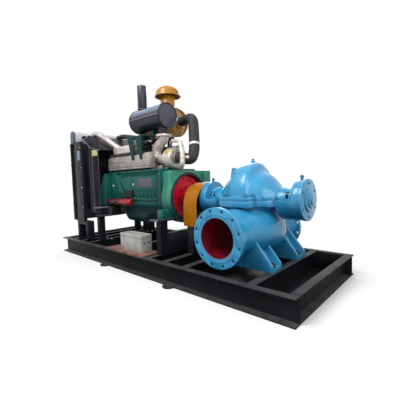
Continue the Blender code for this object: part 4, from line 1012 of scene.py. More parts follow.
def split_nuts():
    """Nuts round the split flange and heads under it, wherever the casing leaves room."""
    upper = bpy.data.objects["casing_upper_dressed"]
    lower = bpy.data.objects["casing_lower_dressed"]
    width = sizes().split_nut
    above, below = [], []
    for point in spaced(split_outline(-0.027), sizes().split_pitch):
        spot = Vector((PUMP_X + point.x, point.y, PLATE_TOP))
        if clear_spot(upper, spot, width * 0.55, PLATE_TOP, 1):
            above.append((spot, Z, point.x * 9.0))
        spot = Vector((PUMP_X + point.x, point.y, 2 * SHAFT_Z - PLATE_TOP))
        if clear_spot(lower, spot, width * 0.50, spot.z, -1):
            below.append((spot, -Z, point.x * 9.0))
    bolt_set("split_flange_nuts", above, width, "nut_blue", stud=0.012)
    if below:
        bolt_set("split_flange_heads", below, width * 0.9, "nut_blue")


def pump_bolts():
    """Holding-down nuts, bolts of the bearing caps and the raised faces of the flanges."""
    foot_top = DECK + 0.028
    feet = [((PUMP_X + side * 0.335, y, foot_top), Z, 0.3) for side in (-1, 1) for y in (-0.235, 0.275)]
    bolt_set("holding_down_nuts", feet, sizes().foot_nut, "nut_dark", stud=0.014)
    ends = []
    for side, face in ((-1, low("bearing_cap_drive_end").x), (1, high("bearing_cap_free_end").x - 0.0390)):
        for point in circle((face, 0, SHAFT_Z), 0.146, 6, start=math.radians(30)):
            ends.append((point, X * side, 0.2))
    bolt_set("bearing_cap_bolts", ends, 0.022, "pump_blue", washer=False)
    face = ring((PUMP_X, SUCTION_Y - 0.0005, SUCTION_Z), Y, 0.207, 0.0028, 64)
    lip = ring((PUMP_X, SUCTION_Y + 0.001, SUCTION_Z), Y, SUCTION_BORE + 0.0015, 0.0030, 64)
    rear = ring((PUMP_X, DISCHARGE_Y + 0.0005, DISCHARGE_Z), Y, 0.182, 0.0028, 64)
    dress(joined([face, lip, rear]), "flange_raised_faces", "pump_blue")


def gland_nuts():
    """Nuts of the gland followers, seen through the windows of the bearing brackets."""
    places = []
    for side in (-1, 1):
        for y in (-0.092, 0.092):
            places.append(((PUMP_X + side * 0.402, y, SHAFT_Z + 0.054), X * side, 0.1))
    bolt_set("gland_nuts", places, 0.024, "bright_steel", stud=0.008)


def grease_points():
    """Grease cups on the bearing housings and the plug of the vent boss."""
    cup = turned([(0.0, 0.010), (0.012, 0.010), (0.012, 0.017), (0.030, 0.017), (0.034, 0.014),
                  (0.040, 0.008)],
                 (0, 0, 0), Z, 16)
    top = high("bearing_bracket_free_end").z - 0.001
    places = [((PUMP_X + side * 0.500, 0, top), Z, 0.0) for side in (-1, 1)]
    dress(copies(cup, places), "grease_cups", "nut_blue")
    plug = [((PUMP_X + 0.010, 0, high("casing_upper").z - 0.002), Z, 0.2)]
    bolt_set("vent_plug", plug, 0.022, "nut_dark", washer=False)


# Engine.

def side_slab(side, x, depth, z, edge=0.003):
    """A block on one side of the cylinder block: x, depth out from its face and z as (low, high)."""
    ends = sorted((side * (HALF + depth[0]), side * (HALF + depth[1])))
    return slab((x[0], ends[0], z[0]), (x[1], ends[1], z[1]), edge)


def block_side(side):
    """Ledge, ribs, core plugs and flanges cast on one side of the block."""
    base, top = BLOCK_LOW.z, BLOCK_HIGH.z
    things = [
        side_slab(side, (FRONT + 0.002, REAR - 0.030), (-0.010, 0.017), (top - 0.024, top - 0.002), 0.004),
        side_slab(side, (FRONT + 0.002, FRONT + 0.026), (-0.010, 0.020), (base + 0.060, top - 0.026), 0.004),
        side_slab(side, (REAR - 0.030, REAR - 0.002), (-0.010, 0.028), (base + 0.060, top - 0.002), 0.004),
        side_slab(side, (FRONT + 0.520, REAR - 0.090), (-0.010, 0.018), (base + 0.108, base + 0.130), 0.004),
        side_slab(side, (FRONT + 0.530, REAR - 0.100), (-0.010, 0.007), (base + 0.235, base + 0.403), 0.003),
        side_slab(side, (FRONT + 0.032, REAR - 0.100), (-0.010, 0.010), (base + 0.056, base + 0.074), 0.003),
    ]
    for index in range(16):
        x = FRONT + 0.335 + index * 0.046
        things.append(side_slab(side, (x, x + 0.015), (-0.010, 0.014), (top - 0.070, top - 0.020), 0.002))
    for index in range(7):
        x = FRONT + 0.545 + index * 0.078
        if index < 6:
            cup = turned([(-0.004, 0.029), (0.012, 0.027), (0.012, 0.021), (0.004, 0.018)],
                         (x + 0.039, side * HALF, base + 0.197), Y * side, 20)
            things.append(cup)
        things.append(side_slab(side, (x - 0.005, x + 0.005), (-0.010, 0.012), (base + 0.137, base + 0.231),
                                0.002))
    face = side * (HALF + 0.002)
    slant = ((0.061, 0.464), (0.198, 0.459), (0.361, 0.188), (0.213, 0.186))
    things.append(rounded(flat_plate([(FRONT + x, base + z) for x, z in slant], face, 0.030), 0.005))
    things.append(pipe([(FRONT + 0.191, face, base + 0.444), (FRONT + 0.395, face, base + 0.257)], 0.006))
    return things


def block_castings():
    """What is cast on the two sides of the block."""
    dress(joined(block_side(-1) + block_side(1)), "block_castings", "engine_green")


def block_bolts():
    """Bolt heads on the block's ledge, flanges and front cover."""
    places = []
    for side in (-1, 1):
        out = Y * side
        for index in range(9):
            places.append(((FRONT + 0.075 + index * 0.125, side * (HALF + 0.016), BLOCK_HIGH.z - 0.013), out,
                           index))
        for index in range(7):
            z = BLOCK_LOW.z + 0.085 + index * 0.062
            places.append(((FRONT + 0.014, side * (HALF + 0.019), z), out, index))
            places.append(((REAR - 0.016, side * (HALF + 0.027), z), out, index))
        for index in range(6):
            places.append(((FRONT + 0.560 + index * 0.085, side * (HALF + 0.017), BLOCK_LOW.z + 0.119), out,
                           index))
    bolt_set("block_bolts", places, 0.019, "nut_green", washer=False)


def block_trims():
    """Bare nameplate, seam at the rear flange and two small caps on the near side."""
    base, face = BLOCK_LOW.z, -HALF - 0.0085
    plate = slab((FRONT + 0.674, face, base + 0.273), (FRONT + 0.958, face + 0.002, base + 0.375), 0.001)
    dress(plate, "bare_nameplate", "dark_plate")
    rivets = [((x, face, z), -Y, 0)
              for x in (FRONT + 0.682, FRONT + 0.950) for z in (base + 0.281, base + 0.367)]
    bolt_set("nameplate_rivets", rivets, 0.008, washer=False)
    seam = slab((REAR - 0.075, -HALF - 0.0015, base + 0.052), (REAR - 0.058, -HALF + 0.004, base + 0.420))
    dress(seam, "block_seam", "belt_black")
    caps = []
    for x, z in ((FRONT + 0.095, base + 0.290), (FRONT + 0.575, base + 0.305)):
        caps.append(turned([(-0.002, 0.016), (0.010, 0.016), (0.013, 0.012), (0.013, 0.007)], (x, -HALF, z),
                           -Y, 16))
    dress(joined(caps), "block_caps", "yellow_tag")


def oil_fittings():
    """Filter head between the two filters, a brace, clamp rings and the dipstick."""
    front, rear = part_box("oil_filter_front"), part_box("oil_filter_rear")
    axis_y, axis_z = (front[0].y + front[1].y) / 2, (front[0].z + front[1].z) / 2
    head = slab((front[1].x - 0.006, front[0].y + 0.006, front[0].z + 0.004),
                (rear[0].x + 0.006, -HALF + 0.004, front[1].z), 0.006)
    neck = bar((front[1].x + 0.015, -HALF + 0.01, axis_z + 0.03),
               (front[1].x + 0.015, -HALF - 0.03, axis_z + 0.055), 0.018)
    dress(joined([head, neck]), "oil_filter_head", "bracket_green")
    base = BLOCK_LOW.z
    brace = slab((FRONT + 0.400, -HALF - 0.030, base + 0.136), (FRONT + 0.574, -HALF + 0.004, base + 0.225),
                 0.006)
    dress(brace, "filter_brace", "sheet_black")
    rings = []
    for box in (front, rear):
        for x in (box[0].x + 0.014, box[1].x - 0.026):
            rings.append(ring((x, axis_y, axis_z), X, 0.0465, 0.0022))
    dress(joined(rings), "oil_filter_rims", "belt_black")
    stick = pipe([(REAR - 0.250, HALF + 0.020, base - 0.025), (REAR - 0.250, HALF + 0.024, base + 0.095),
                  (REAR - 0.300, HALF + 0.030, base + 0.235), (REAR - 0.300, HALF + 0.030, base + 0.395)],
                  0.006)
    grip = ring((REAR - 0.300, HALF + 0.030, base + 0.413), Y, 0.016, 0.004, 20)
    dress(joined([stick, grip]), "dipstick", "yellow_tag")


def head_fittings():
    """Six rocker covers, the air duct, the slotted intake cover and their bolts."""
    start = HEAD_LOW.x
    pitch = (HEAD_HIGH.x - start) / 6
    covers, bolts = [], []
    for index in range(6):
        x = start + index * pitch + 0.010
        cover = slab((x, HEAD_LOW.y + 0.125, HEAD_TOP - 0.004),
                     (x + pitch - 0.020, HEAD_HIGH.y - 0.035, HEAD_TOP + 0.050), 0.014, 3)
        shape(cover, lambda c, n: n.z > 0.9, inset(0.014), pull((0, 0, 0.006)))
        covers.append(cover)
        for y in (HEAD_LOW.y + 0.150, HEAD_HIGH.y - 0.060):
            bolts.append(((x + pitch / 2 - 0.010, y, HEAD_TOP + 0.055), Z, index))
    dress(joined(covers), "rocker_covers", "satin_black")
    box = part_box("intake_cover")
    face, top = box[0].y, box[1].z
    duct = joined([
        slab((FRONT + 0.172, face, top + 0.022), (FRONT + 0.560, face + 0.095, top + 0.118), 0.014, 3),
        slab((FRONT + 0.190, face + 0.045, HEAD_TOP - 0.002),
             (FRONT + 0.550, HEAD_LOW.y + 0.098, HEAD_TOP + 0.084), 0.014, 3),
    ])
    dress(duct, "air_duct", "duct_silver")
    seal = slab((FRONT + 0.060, face + 0.006, top - 0.004), (FRONT + 0.790, face + 0.085, top + 0.026), 0.006)
    dress(seal, "duct_seal", "belt_black")
    for index in range(9):
        x = box[0].x + 0.030 + index * 0.108
        bolts.append(((x, face + 0.001, top - 0.105), -Y, index))
    bolt_set("head_bolts", bolts, 0.017, "zinc", washer=False)
    slots = []
    for row, z in enumerate((box[0].z + 0.028, box[0].z + 0.098)):
        for index in range(30 if row == 0 else 14):
            x = box[0].x + 0.020 + index * 0.030 + (index % 3) * 0.004
            drop = (index % 2) * 0.006
            slots.append(slab((x, face - 0.0012, z - drop), (x + 0.019, face + 0.004, z - drop + 0.010)))
    dress(joined(slots), "cover_slots", "belt_black")
    ribs = []
    for z in (box[0].z + 0.006, box[0].z + 0.066):
        ribs.append(slab((box[0].x + 0.004, face - 0.004, z), (box[1].x - 0.004, face + 0.004, z + 0.007),
                         0.002))
    dress(joined(ribs), "cover_ribs", "cast_silver")


def exhaust_manifold():
    """Ported manifold along the far side and its flange under the turbine."""
    start, y, deck = FRONT + 0.090, HALF + 0.030, BLOCK_HIGH.z
    things = [pipe([(start, y, deck + 0.085), (REAR - 0.330, y, deck + 0.085)], 0.036)]
    for index in range(6):
        x = start + 0.010 + index * 0.128
        things.append(pipe([(x, y - 0.095, deck + 0.105), (x, y, deck + 0.095)], 0.024))
        things.append(slab((x - 0.036, y - 0.088, deck + 0.065), (x + 0.036, y - 0.076, deck + 0.142), 0.003))
    things.append(pipe([(REAR - 0.330, y, deck + 0.085), (REAR - 0.200, y, deck + 0.085),
                        (REAR - 0.180, y - 0.150, deck + 0.065), (REAR - 0.150, y - 0.280, deck + 0.060)],
                        0.036, 0.08))
    dress(joined(things), "exhaust_manifold", "hot_iron")
    base = joined([
        slab((REAR - 0.392, -0.172, deck + 0.001), (REAR - 0.110, -0.020, deck + 0.048), 0.008),
        slab((REAR - 0.398, -0.160, deck + 0.001), (REAR - 0.336, -0.060, deck + 0.085), 0.008),
    ])
    dress(base, "turbine_base", "cast_silver")


def turbo_fittings():
    """Clamps, cover, bolts and blank plate of the turbocharger, its pipes and the filter head beside it."""
    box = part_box("turbocharger")
    axis_y = (box[0].y + box[1].y) / 2
    reach = (box[1].y - box[0].y) / 2
    axis_z = box[1].z - reach
    start = box[0].x
    rings = [ring((start + x, axis_y, axis_z), X, radius, thick)
             for x, radius, thick in ((0.004, 0.074, 0.005), (0.059, 0.083, 0.008),
                                      (0.081, reach - 0.003, 0.005), (0.176, reach - 0.001, 0.004),
                                      (0.196, 0.054, 0.006))]
    dress(joined(rings), "turbo_clamps", "duct_silver")
    cover = turned([(0.0, reach - 0.006), (0.004, reach + 0.001), (0.104, reach + 0.001),
                    (0.112, reach - 0.012), (0.115, reach - 0.050)], (start + 0.076, axis_y, axis_z), X, 48)
    dress(cover, "turbo_cover", "duct_silver")
    places = bolt_circle((start + 0.187, axis_y, axis_z), 0.100, 8)
    places += bolt_circle((start + 0.043, axis_y, axis_z), 0.072, 6)
    bolt_set("turbo_bolts", places, 0.017, washer=False)
    lean = math.radians(56)
    plate = slab((start + 0.100, -0.026, -0.001), (start + 0.178, 0.026, 0.003), 0.0008)
    plate.data.transform(Matrix.Translation((0, axis_y - reach * math.sin(lean),
                                             axis_z + reach * math.cos(lean)))
                         @ Matrix.Rotation(lean, 4, "X"))
    dress(plate, "turbo_plate", "gold_plate")
    level = axis_z + 0.205
    top = pipe([(start - 0.030, axis_y + 0.120, axis_z + 0.150),
                (start + 0.020, axis_y + 0.060, level - 0.010), (start + 0.120, axis_y, level),
                (start + 0.250, axis_y - 0.005, level - 0.020),
                (start + 0.290, axis_y - 0.020, level - 0.055)], 0.018, 0.05)
    drop = pipe([(start + 0.262, axis_y - 0.010, level - 0.030),
                 (start + 0.300, axis_y - 0.028, axis_z + 0.120),
                 (start + 0.362, axis_y - 0.070, axis_z + 0.040),
                 (start + 0.385, axis_y - 0.100, axis_z - 0.085),
                 (start + 0.320, axis_y - 0.060, axis_z - 0.120)], 0.029, 0.06)
    cuffs = [ring((start + 0.295, axis_y - 0.026, axis_z + 0.125), Vector((0.4, -0.2, -0.6)), 0.029, 0.005),
             ring((start + 0.376, axis_y - 0.088, axis_z - 0.030), Vector((0.2, -0.25, -1.0)), 0.029, 0.005)]
    dress(joined([top, drop] + cuffs), "charge_loop", "duct_silver")
    port = turned([(-0.004, 0.030), (0.004, 0.030), (0.005, 0.024)],
                  (start + 0.063, axis_y - 0.074, BLOCK_HIGH.z + 0.047), -Y, 28)
    dress(port, "turbine_port", "belt_black")
    head = slab((start - 0.148, axis_y + 0.160, BLOCK_HIGH.z + 0.248),
                (start + 0.037, axis_y + 0.240, BLOCK_HIGH.z + 0.297), 0.010)
    dress(head, "fuel_filter_head", "pale_green")
    knob = turned([(-0.012, 0.010), (0.0, 0.020), (0.018, 0.020), (0.024, 0.012)],
                  (start + 0.425, axis_y - 0.060, axis_z - 0.020), Vector((0.5, -0.5, 0.7)).normalized(), 20)
    dress(knob, "loop_cap", "duct_silver")
    oil = pipe([(start + 0.098, axis_y + 0.020, axis_z + 0.110),
                (start + 0.098, axis_y + 0.060, axis_z + 0.150),
                (start + 0.010, axis_y + 0.180, axis_z + 0.110),
                (start + 0.010, axis_y + 0.200, BLOCK_HIGH.z - 0.002)],
               0.008, 0.04)
    dress(oil, "turbo_oil_pipe", "zinc")


def top_pipes():
    """Coolant hose to the radiator, injector pipes and the green fuel filter behind the turbocharger."""
    tank = high("top_tank")
    hose = pipe([(tank.x - 0.020, 0.180, tank.z - 0.050), (tank.x + 0.130, 0.180, tank.z - 0.040),
                 (FRONT + 0.060, 0.140, tank.z - 0.110), (FRONT + 0.330, 0.100, HEAD_TOP + 0.190),
                 (FRONT + 0.520, 0.060, HEAD_TOP + 0.110), (FRONT + 0.530, 0.050, HEAD_TOP + 0.030)], 0.036,
                 0.12)
    dress(hose, "coolant_hose", "hose_black")
    lines = []
    for index in range(6):
        x = HEAD_LOW.x + 0.066 + index * 0.128
        lines.append(pipe([(x, 0.200, HEAD_TOP - 0.060), (x, 0.150, HEAD_TOP + 0.085),
                           (x + 0.020, -0.060, HEAD_TOP + 0.100), (x + 0.020, -0.150, HEAD_TOP - 0.006)],
                           0.0055, 0.05, 2))
    rail = pipe([(FRONT + 0.560, -0.020, HEAD_TOP + 0.105), (REAR - 0.300, -0.020, HEAD_TOP + 0.105),
                 (REAR - 0.260, -0.040, HEAD_TOP + 0.020), (REAR - 0.260, -0.040, HEAD_TOP - 0.120)], 0.020,
                 0.06)
    dress(joined(lines + [rail]), "injector_pipes", "belt_black")
    glass = turned([(0.0, 0.030), (0.010, 0.050), (0.140, 0.052), (0.150, 0.046), (0.158, 0.058),
                    (0.185, 0.058), (0.192, 0.030)],
                   (REAR - 0.165, 0.130, BLOCK_HIGH.z + 0.100), Z, 24)
    stand = slab((REAR - 0.205, 0.100, BLOCK_HIGH.z - 0.002), (REAR - 0.125, 0.160, BLOCK_HIGH.z + 0.110),
                 0.004)
    dress(joined([glass, stand]), "fuel_filter", "pale_green")


def case_bolts():
    """Bolts in a row up each side of the timing case."""
    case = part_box("timing_case")
    places = []
    for side, face in ((-1, case[0].y), (1, case[1].y)):
        for index in range(5):
            places.append(((case[1].x - 0.022, face, case[0].z + 0.060 + index * 0.085), Y * side, index))
    bolt_set("case_bolts", places, 0.018, "nut_green", washer=False)


def stand_bolts():
    """Bolts on the feet of the engine's posts, and pads on the tops of the posts and the rear support."""
    places = []
    for node in ("post_front_near", "post_front_far"):
        corner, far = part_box(node)
        for x in (corner.x + 0.045, far.x - 0.045):
            places.append(((x, (corner.y + far.y) / 2, DECK + 0.012), Z, 0.2))
    bolt_set("stand_bolts", places, 0.026)
    pads = []
    for node in ("post_front_near", "post_front_far"):
        corner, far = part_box(node)
        side = -1 if corner.y < 0 else 1
        ends = sorted((side * (HALF + 0.020), side * (max(abs(corner.y), abs(far.y)) + 0.008)))
        pads.append(slab((corner.x - 0.012, ends[0], far.z - 0.012),
                         (corner.x + 0.110, ends[1], far.z + 0.001), 0.003))
    corner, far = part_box("rear_support")
    for side in (-1, 1):
        ends = sorted((side * 0.300, side * (far.y + 0.006)))
        pads.append(slab((corner.x - 0.012, ends[0], far.z - 0.012), (far.x - 0.030, ends[1], far.z - 0.001),
                         0.003))
    dress(joined(pads), "stand_pads", "pad_grey")


# Drive.

def drive_fittings():
    """Bolts of the flywheel, coupling and housing, black rings of painted shadow round the wheel and the
    guard's edges.
    """
    wheel = Vector((low("flywheel").x + 0.078, 0, SHAFT_Z))
    bolt_set("flywheel_bolts", bolt_circle(wheel, 0.232, 12, 0.2), 0.022, "belt_black", TURNING,
             washer=False)
    bolt_set("flywheel_hub_bolts", bolt_circle(wheel, 0.118, 8), 0.024, "nut_dark", TURNING)
    pins = bolt_circle((high("coupling").x, 0, SHAFT_Z), 0.112, 8, 0.2)
    bolt_set("coupling_pins", pins, 0.024, "zinc", TURNING)
    housing = high("flywheel_housing").x
    # Three black rings in the housing's mouth paint the shadow in the gap round the flywheel.
    lip = [ring((housing + 0.002, 0, SHAFT_Z), X, radius, 0.007, 64) for radius in (0.274, 0.283, 0.291)]
    dress(joined(lip), "housing_shadow_rings", "belt_black")
    around = bolt_circle((housing - 0.001, 0, SHAFT_Z), 0.303, 16, 0.1)
    bolt_set("housing_bolts", around, 0.012, "nut_green", washer=False)
    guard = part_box("coupling_guard")
    lips = []
    for edge, way in ((guard[1].x, 1.0), (guard[0].x, -1.0)):
        lips.append(pipe(guard_arch(edge - way * 0.004), 0.005, 0.02, 2))
    skirt = bpy.data.objects["coupling_guard_dressed"].copy()
    skirt.data = skirt.data.copy()
    for key in list(skirt.keys()):
        del skirt[key]
    bpy.context.scene.collection.objects.link(skirt)
    for vertex in skirt.data.vertices:
        vertex.co.x = guard[1].x + 0.0005 + (vertex.co.x - guard[0].x) * 0.24
    dress(skirt, "guard_skirt", "guard_yellow")
    dress(joined(lips), "guard_edges", "guard_yellow")


def guard_arch(x):
    """The route of the guard's outer edge at one x, up one side, over and down the other."""
    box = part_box("coupling_guard")
    reach = (box[1].y - box[0].y) / 2
    top = box[1].z - reach
    points = [(x, box[0].y, box[0].z + 0.004)]
    for index in range(13):
        turn = math.pi - math.pi * index / 12
        points.append((x, reach * math.cos(turn), top + reach * math.sin(turn)))
    return points + [(x, box[1].y, box[0].z + 0.004)]


# Battery box.

def box_fittings():
    """Lid and latches of the battery box, and the board's rolled edges."""
    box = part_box("battery_box")
    lid = slab((box[0].x - 0.003, box[0].y - 0.003, box[1].z - 0.036),
               (box[1].x + 0.003, box[1].y + 0.003, box[1].z + 0.001), 0.003)
    shape(lid, lambda c, n: n.z > 0.9, inset(0.014), pull((0, 0, -0.003)))
    dress(lid, "battery_lid", "box_grey")
    marks = [slab((box[1].x + 0.0005, y - 0.010, box[0].z + 0.095),
                  (box[1].x + 0.004, y + 0.010, box[0].z + 0.112), 0.001)
             for y in (box[0].y + 0.045, box[1].y - 0.045)]
    dress(joined(marks), "battery_latches", "hose_black")
    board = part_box("board")
    lips = [slab((board[0].x, y - 0.003, board[1].z - 0.004), (board[1].x, y + 0.003, board[1].z + 0.008),
                 0.002)
            for y in (board[0].y + 0.004, board[1].y - 0.004)]
    dress(joined(lips), "board_lips", "board_brown")


# Radiator and fan.

def cooling_fan():
    """Seven-bladed fan, its hub, pulleys and belts in front of the timing case."""
    count, root, tip = 7, 0.060, 0.385
    middle = (low("fan_shroud").z + high("fan_shroud").z) / 2
    plane = high("fan_shroud").x - 0.020
    blades = []
    for index in range(count):
        blade = slab((-0.004, root, -0.004), (0.004, tip, 0.000))
        bpy.ops.object.mode_set(mode="EDIT")
        bpy.ops.mesh.select_all(action="SELECT")
        bpy.ops.mesh.subdivide(number_cuts=4)
        bpy.ops.object.mode_set(mode="OBJECT")
        for vertex in blade.data.vertices:
            share = (vertex.co.y - root) / (tip - root)
            width = 0.045 + 0.055 * share
            lead = 1.0 if vertex.co.x > 0 else -1.0
            flat = vertex.co.x / 0.004
            vertex.co.x = flat * width * 0.55 + (vertex.co.z + 0.002) * 0.3
            vertex.co.z = vertex.co.z + flat * width * 0.45 + 0.010 * flat * flat * share * lead
        spin = Matrix.Rotation(2.0 * math.pi * index / count, 4, "Z")
        blade.data.transform(spin)
        blades.append(blade)
    hub = turned([(-0.030, 0.040), (-0.028, 0.075), (0.020, 0.080), (0.024, 0.060)], (0, 0, 0), Z, 24)
    fan = joined(blades + [hub])
    facing = Matrix.Rotation(math.radians(90), 4, "Y")
    fan.data.transform(Matrix.Translation((plane - 0.020, 0, middle)) @ facing)
    dress(closed(fan), "cooling_fan", "satin_black")
    groove = [(0.0, 0.074), (0.004, 0.078), (0.010, 0.064), (0.016, 0.078), (0.022, 0.064), (0.028, 0.078),
              (0.032, 0.074)]
    upper = turned(groove, (plane + 0.012, 0, middle), X, 28)
    lower = turned([(a, r * 1.25) for a, r in groove], (plane + 0.012, 0, SHAFT_Z - 0.015), X, 28)
    side = turned([(a, r * 0.62) for a, r in groove], (plane + 0.012, -0.205, SHAFT_Z + 0.135), X, 28)
    spindle = bar((plane + 0.010, 0, middle), (FRONT - 0.030, 0, middle), 0.030)
    bracket = slab((FRONT - 0.120, -0.060, SHAFT_Z + 0.215), (FRONT - 0.020, 0.060, middle + 0.020), 0.008)
    crank = bar((plane + 0.030, 0, SHAFT_Z - 0.015), (low("timing_case").x + 0.010, 0, SHAFT_Z - 0.015),
                0.040)
    dress(joined([upper, lower, side, spindle, bracket, crank]), "fan_drive", "engine_green")
    wheels = [((0, middle), 0.068), ((-0.205, SHAFT_Z + 0.135), 0.044), ((0, SHAFT_Z - 0.015), 0.084)]
    belts = [belt_loop(plane + 0.012 + along, wheels) for along in (0.010, 0.022)]
    dress(joined(belts), "fan_belts", "belt_black")


def belt_loop(x, pulleys):
    """A belt round pulleys given as ((y, z), radius), anticlockwise in the YZ plane."""
    points = []
    count = len(pulleys)
    for index, ((y, z), radius) in enumerate(pulleys):
        before, after = Vector(pulleys[index - 1][0]), Vector(pulleys[(index + 1) % count][0])
        here = Vector((y, z))
        into, out = here - before, after - here
        first = math.atan2(into.y, into.x) - math.pi / 2
        last = math.atan2(out.y, out.x) - math.pi / 2
        while last < first:
            last += 2.0 * math.pi
        for step in range(9):
            turn = first + (last - first) * step / 8
            points.append(Vector((x, y + radius * math.cos(turn), z + radius * math.sin(turn))))
    points.append(points[0])
    return pipe(points, 0.0055, 0.001, 1, 1)


def fan_grille():
    """Rings and spokes of wire behind the fan, on the shroud's mouth."""
    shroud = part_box("fan_shroud")
    middle = (shroud[0].z + shroud[1].z) / 2
    x = shroud[1].x + 0.004
    wires = [ring((x, 0, middle), X, 0.110 + index * 0.040, 0.0028, 48, 6) for index in range(9)]
    for point in circle((x, 0, middle), 0.430, 24):
        inner = Vector((x, 0, middle)) + (point - Vector((x, 0, middle))) * 0.25
        wires.append(bar(inner, point, 0.0028, sides=6))
    dress(joined(wires), "fan_grille", "frame_grey")


def wire_guards():
    """Wire panels in bar frames beside the fan, in place of the plain sheets."""
    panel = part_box("fan_guard_near")
    left, right, bottom, top = panel[0].x, panel[1].x, panel[0].z, panel[1].z
    pitch, wire = sizes().wire_pitch, sizes().wire
    for node in ("fan_guard_near", "fan_guard_far"):
        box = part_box(node)
        y = (box[0].y + box[1].y) / 2
        out = -1.0 if y < 0 else 1.0

        def ceiling(x):
            return top - GUARD_SLOPE * (x - left)
        corners = [(left + 0.005, y, bottom + 0.006), (right - 0.005, y, bottom + 0.006),
                   (right - 0.005, y, ceiling(right) - 0.008), (left + 0.005, y, top - 0.010)]
        things = [bar(a, b, 0.0065, sides=8) for a, b in zip(corners, corners[1:] + corners[:1])]
        x = left + pitch
        while x < right - 0.01:
            things.append(bar((x, y + out * wire, bottom), (x, y + out * wire, ceiling(x) - 0.004), wire,
                              sides=6))
            x += pitch
        z = bottom + pitch
        while z < top - 0.01:
            reach = right if z < ceiling(right) else left + (top - z) / GUARD_SLOPE
            things.append(bar((left, y - out * wire, z), (reach, y - out * wire, z), wire, sides=6))
            z += pitch
        middle = y + out * 0.005
        things.append(slab((left + 0.060, middle - 0.002, bottom),
                           (left + 0.120, middle + 0.002, ceiling(left + 0.120) - 0.010)))
        dress(joined(things), node + "_wires", "wire_grey", replaces=(node,))


def radiator_fittings():
    """Filler cap, tubes, frame strips, bolts, tags and the brackets under the tank."""
    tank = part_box("top_tank")
    frame_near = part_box("side_frame_near")
    cap = turned([(-0.004, 0.030), (0.012, 0.030), (0.012, 0.040), (0.026, 0.040), (0.030, 0.034)],
                 ((tank[0].x + tank[1].x) / 2 - 0.006, tank[1].y - 0.250, tank[1].z - 0.020), Z, 24)
    dress(cap, "filler_cap", "zinc")
    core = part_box("radiator_core")
    face = core[0].x
    tubes = []
    count = 40
    for index in range(count):
        y = core[0].y + (core[1].y - core[0].y) * (index + 0.5) / count
        tubes.append(slab((face - 0.004, y - 0.0045, core[0].z + 0.004),
                          (face + 0.002, y + 0.0045, core[1].z - 0.004)))
    dress(joined(tubes), "core_tubes", "tank_grey")
    plates, bolts = [], []
    for side in (-1, 1):
        face = side * frame_near[0].y * -1.0
        ends = sorted((face - side * 0.0005, face - side * 0.034))
        plates.append(slab((frame_near[0].x + 0.135, ends[0], frame_near[0].z + 0.012),
                           (frame_near[1].x - 0.003, ends[1], frame_near[1].z - 0.004), 0.004))
        for index in range(4):
            z = frame_near[0].z + 0.250 + index * 0.285
            bolts.append(((frame_near[0].x + 0.007, face, z), Y * side, index))
            bolts.append(((frame_near[1].x - 0.010, face, z - 0.05), Y * side, index))
    dress(joined(plates), "side_frame_webs", "frame_grey")
    bolt_set("radiator_bolts", bolts, 0.018)
    corner = frame_near[0]
    tag = slab((corner.x + 0.219, corner.y - 0.0015, corner.z + 0.878),
               (corner.x + 0.295, corner.y + 0.002, corner.z + 1.012), 0.001)
    dress(tag, "bare_radiator_tag", "blue_tag")
    corner = low("fan_guard_near")
    tag = slab((corner.x + 0.110, corner.y - 0.011, corner.z + 0.806),
               (corner.x + 0.266, corner.y - 0.007, corner.z + 0.890), 0.001)
    dress(tag, "bare_guard_tag", "yellow_tag")
    hood_low, hood_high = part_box("hood_panel")
    left, right, base = hood_low.x, hood_high.x - 0.004, hood_low.z
    corners = [(left + 0.096, base + 0.179), (left + 0.260, hood_high.z - 0.015),
               (left + 0.468, base + 0.159), (right, base + 0.048), (right, base - 0.006),
               (left + 0.275, base + 0.053)]
    cheeks, edges = [], []
    for side in (-1, 1):
        y = side * (hood_high.y + 0.002)
        cheeks.append(flat_plate(corners, y, 0.003))
        edges.append(pipe([(x, y + side * 0.002, z) for x, z in (corners[5], corners[0], corners[1])], 0.0045,
                          0.002, 2))
        edges.append(pipe([(x, y + side * 0.002, z) for x, z in (corners[5], corners[4])], 0.0035, 0.002, 2))
    dress(joined(cheeks), "hood_cheeks", "satin_black")
    dress(joined(edges), "hood_edges", "edge_grey")
    stays = []
    for y in (tank[0].y + 0.080, tank[1].y - 0.080):
        stays.append(slab((tank[0].x - 0.004, y - 0.020, tank[0].z - 0.004),
                          (tank[1].x - 0.010, y + 0.020, tank[0].z + 0.030), 0.003))
    dress(joined(stays), "tank_brackets", "zinc")


# Exhaust and air intake.

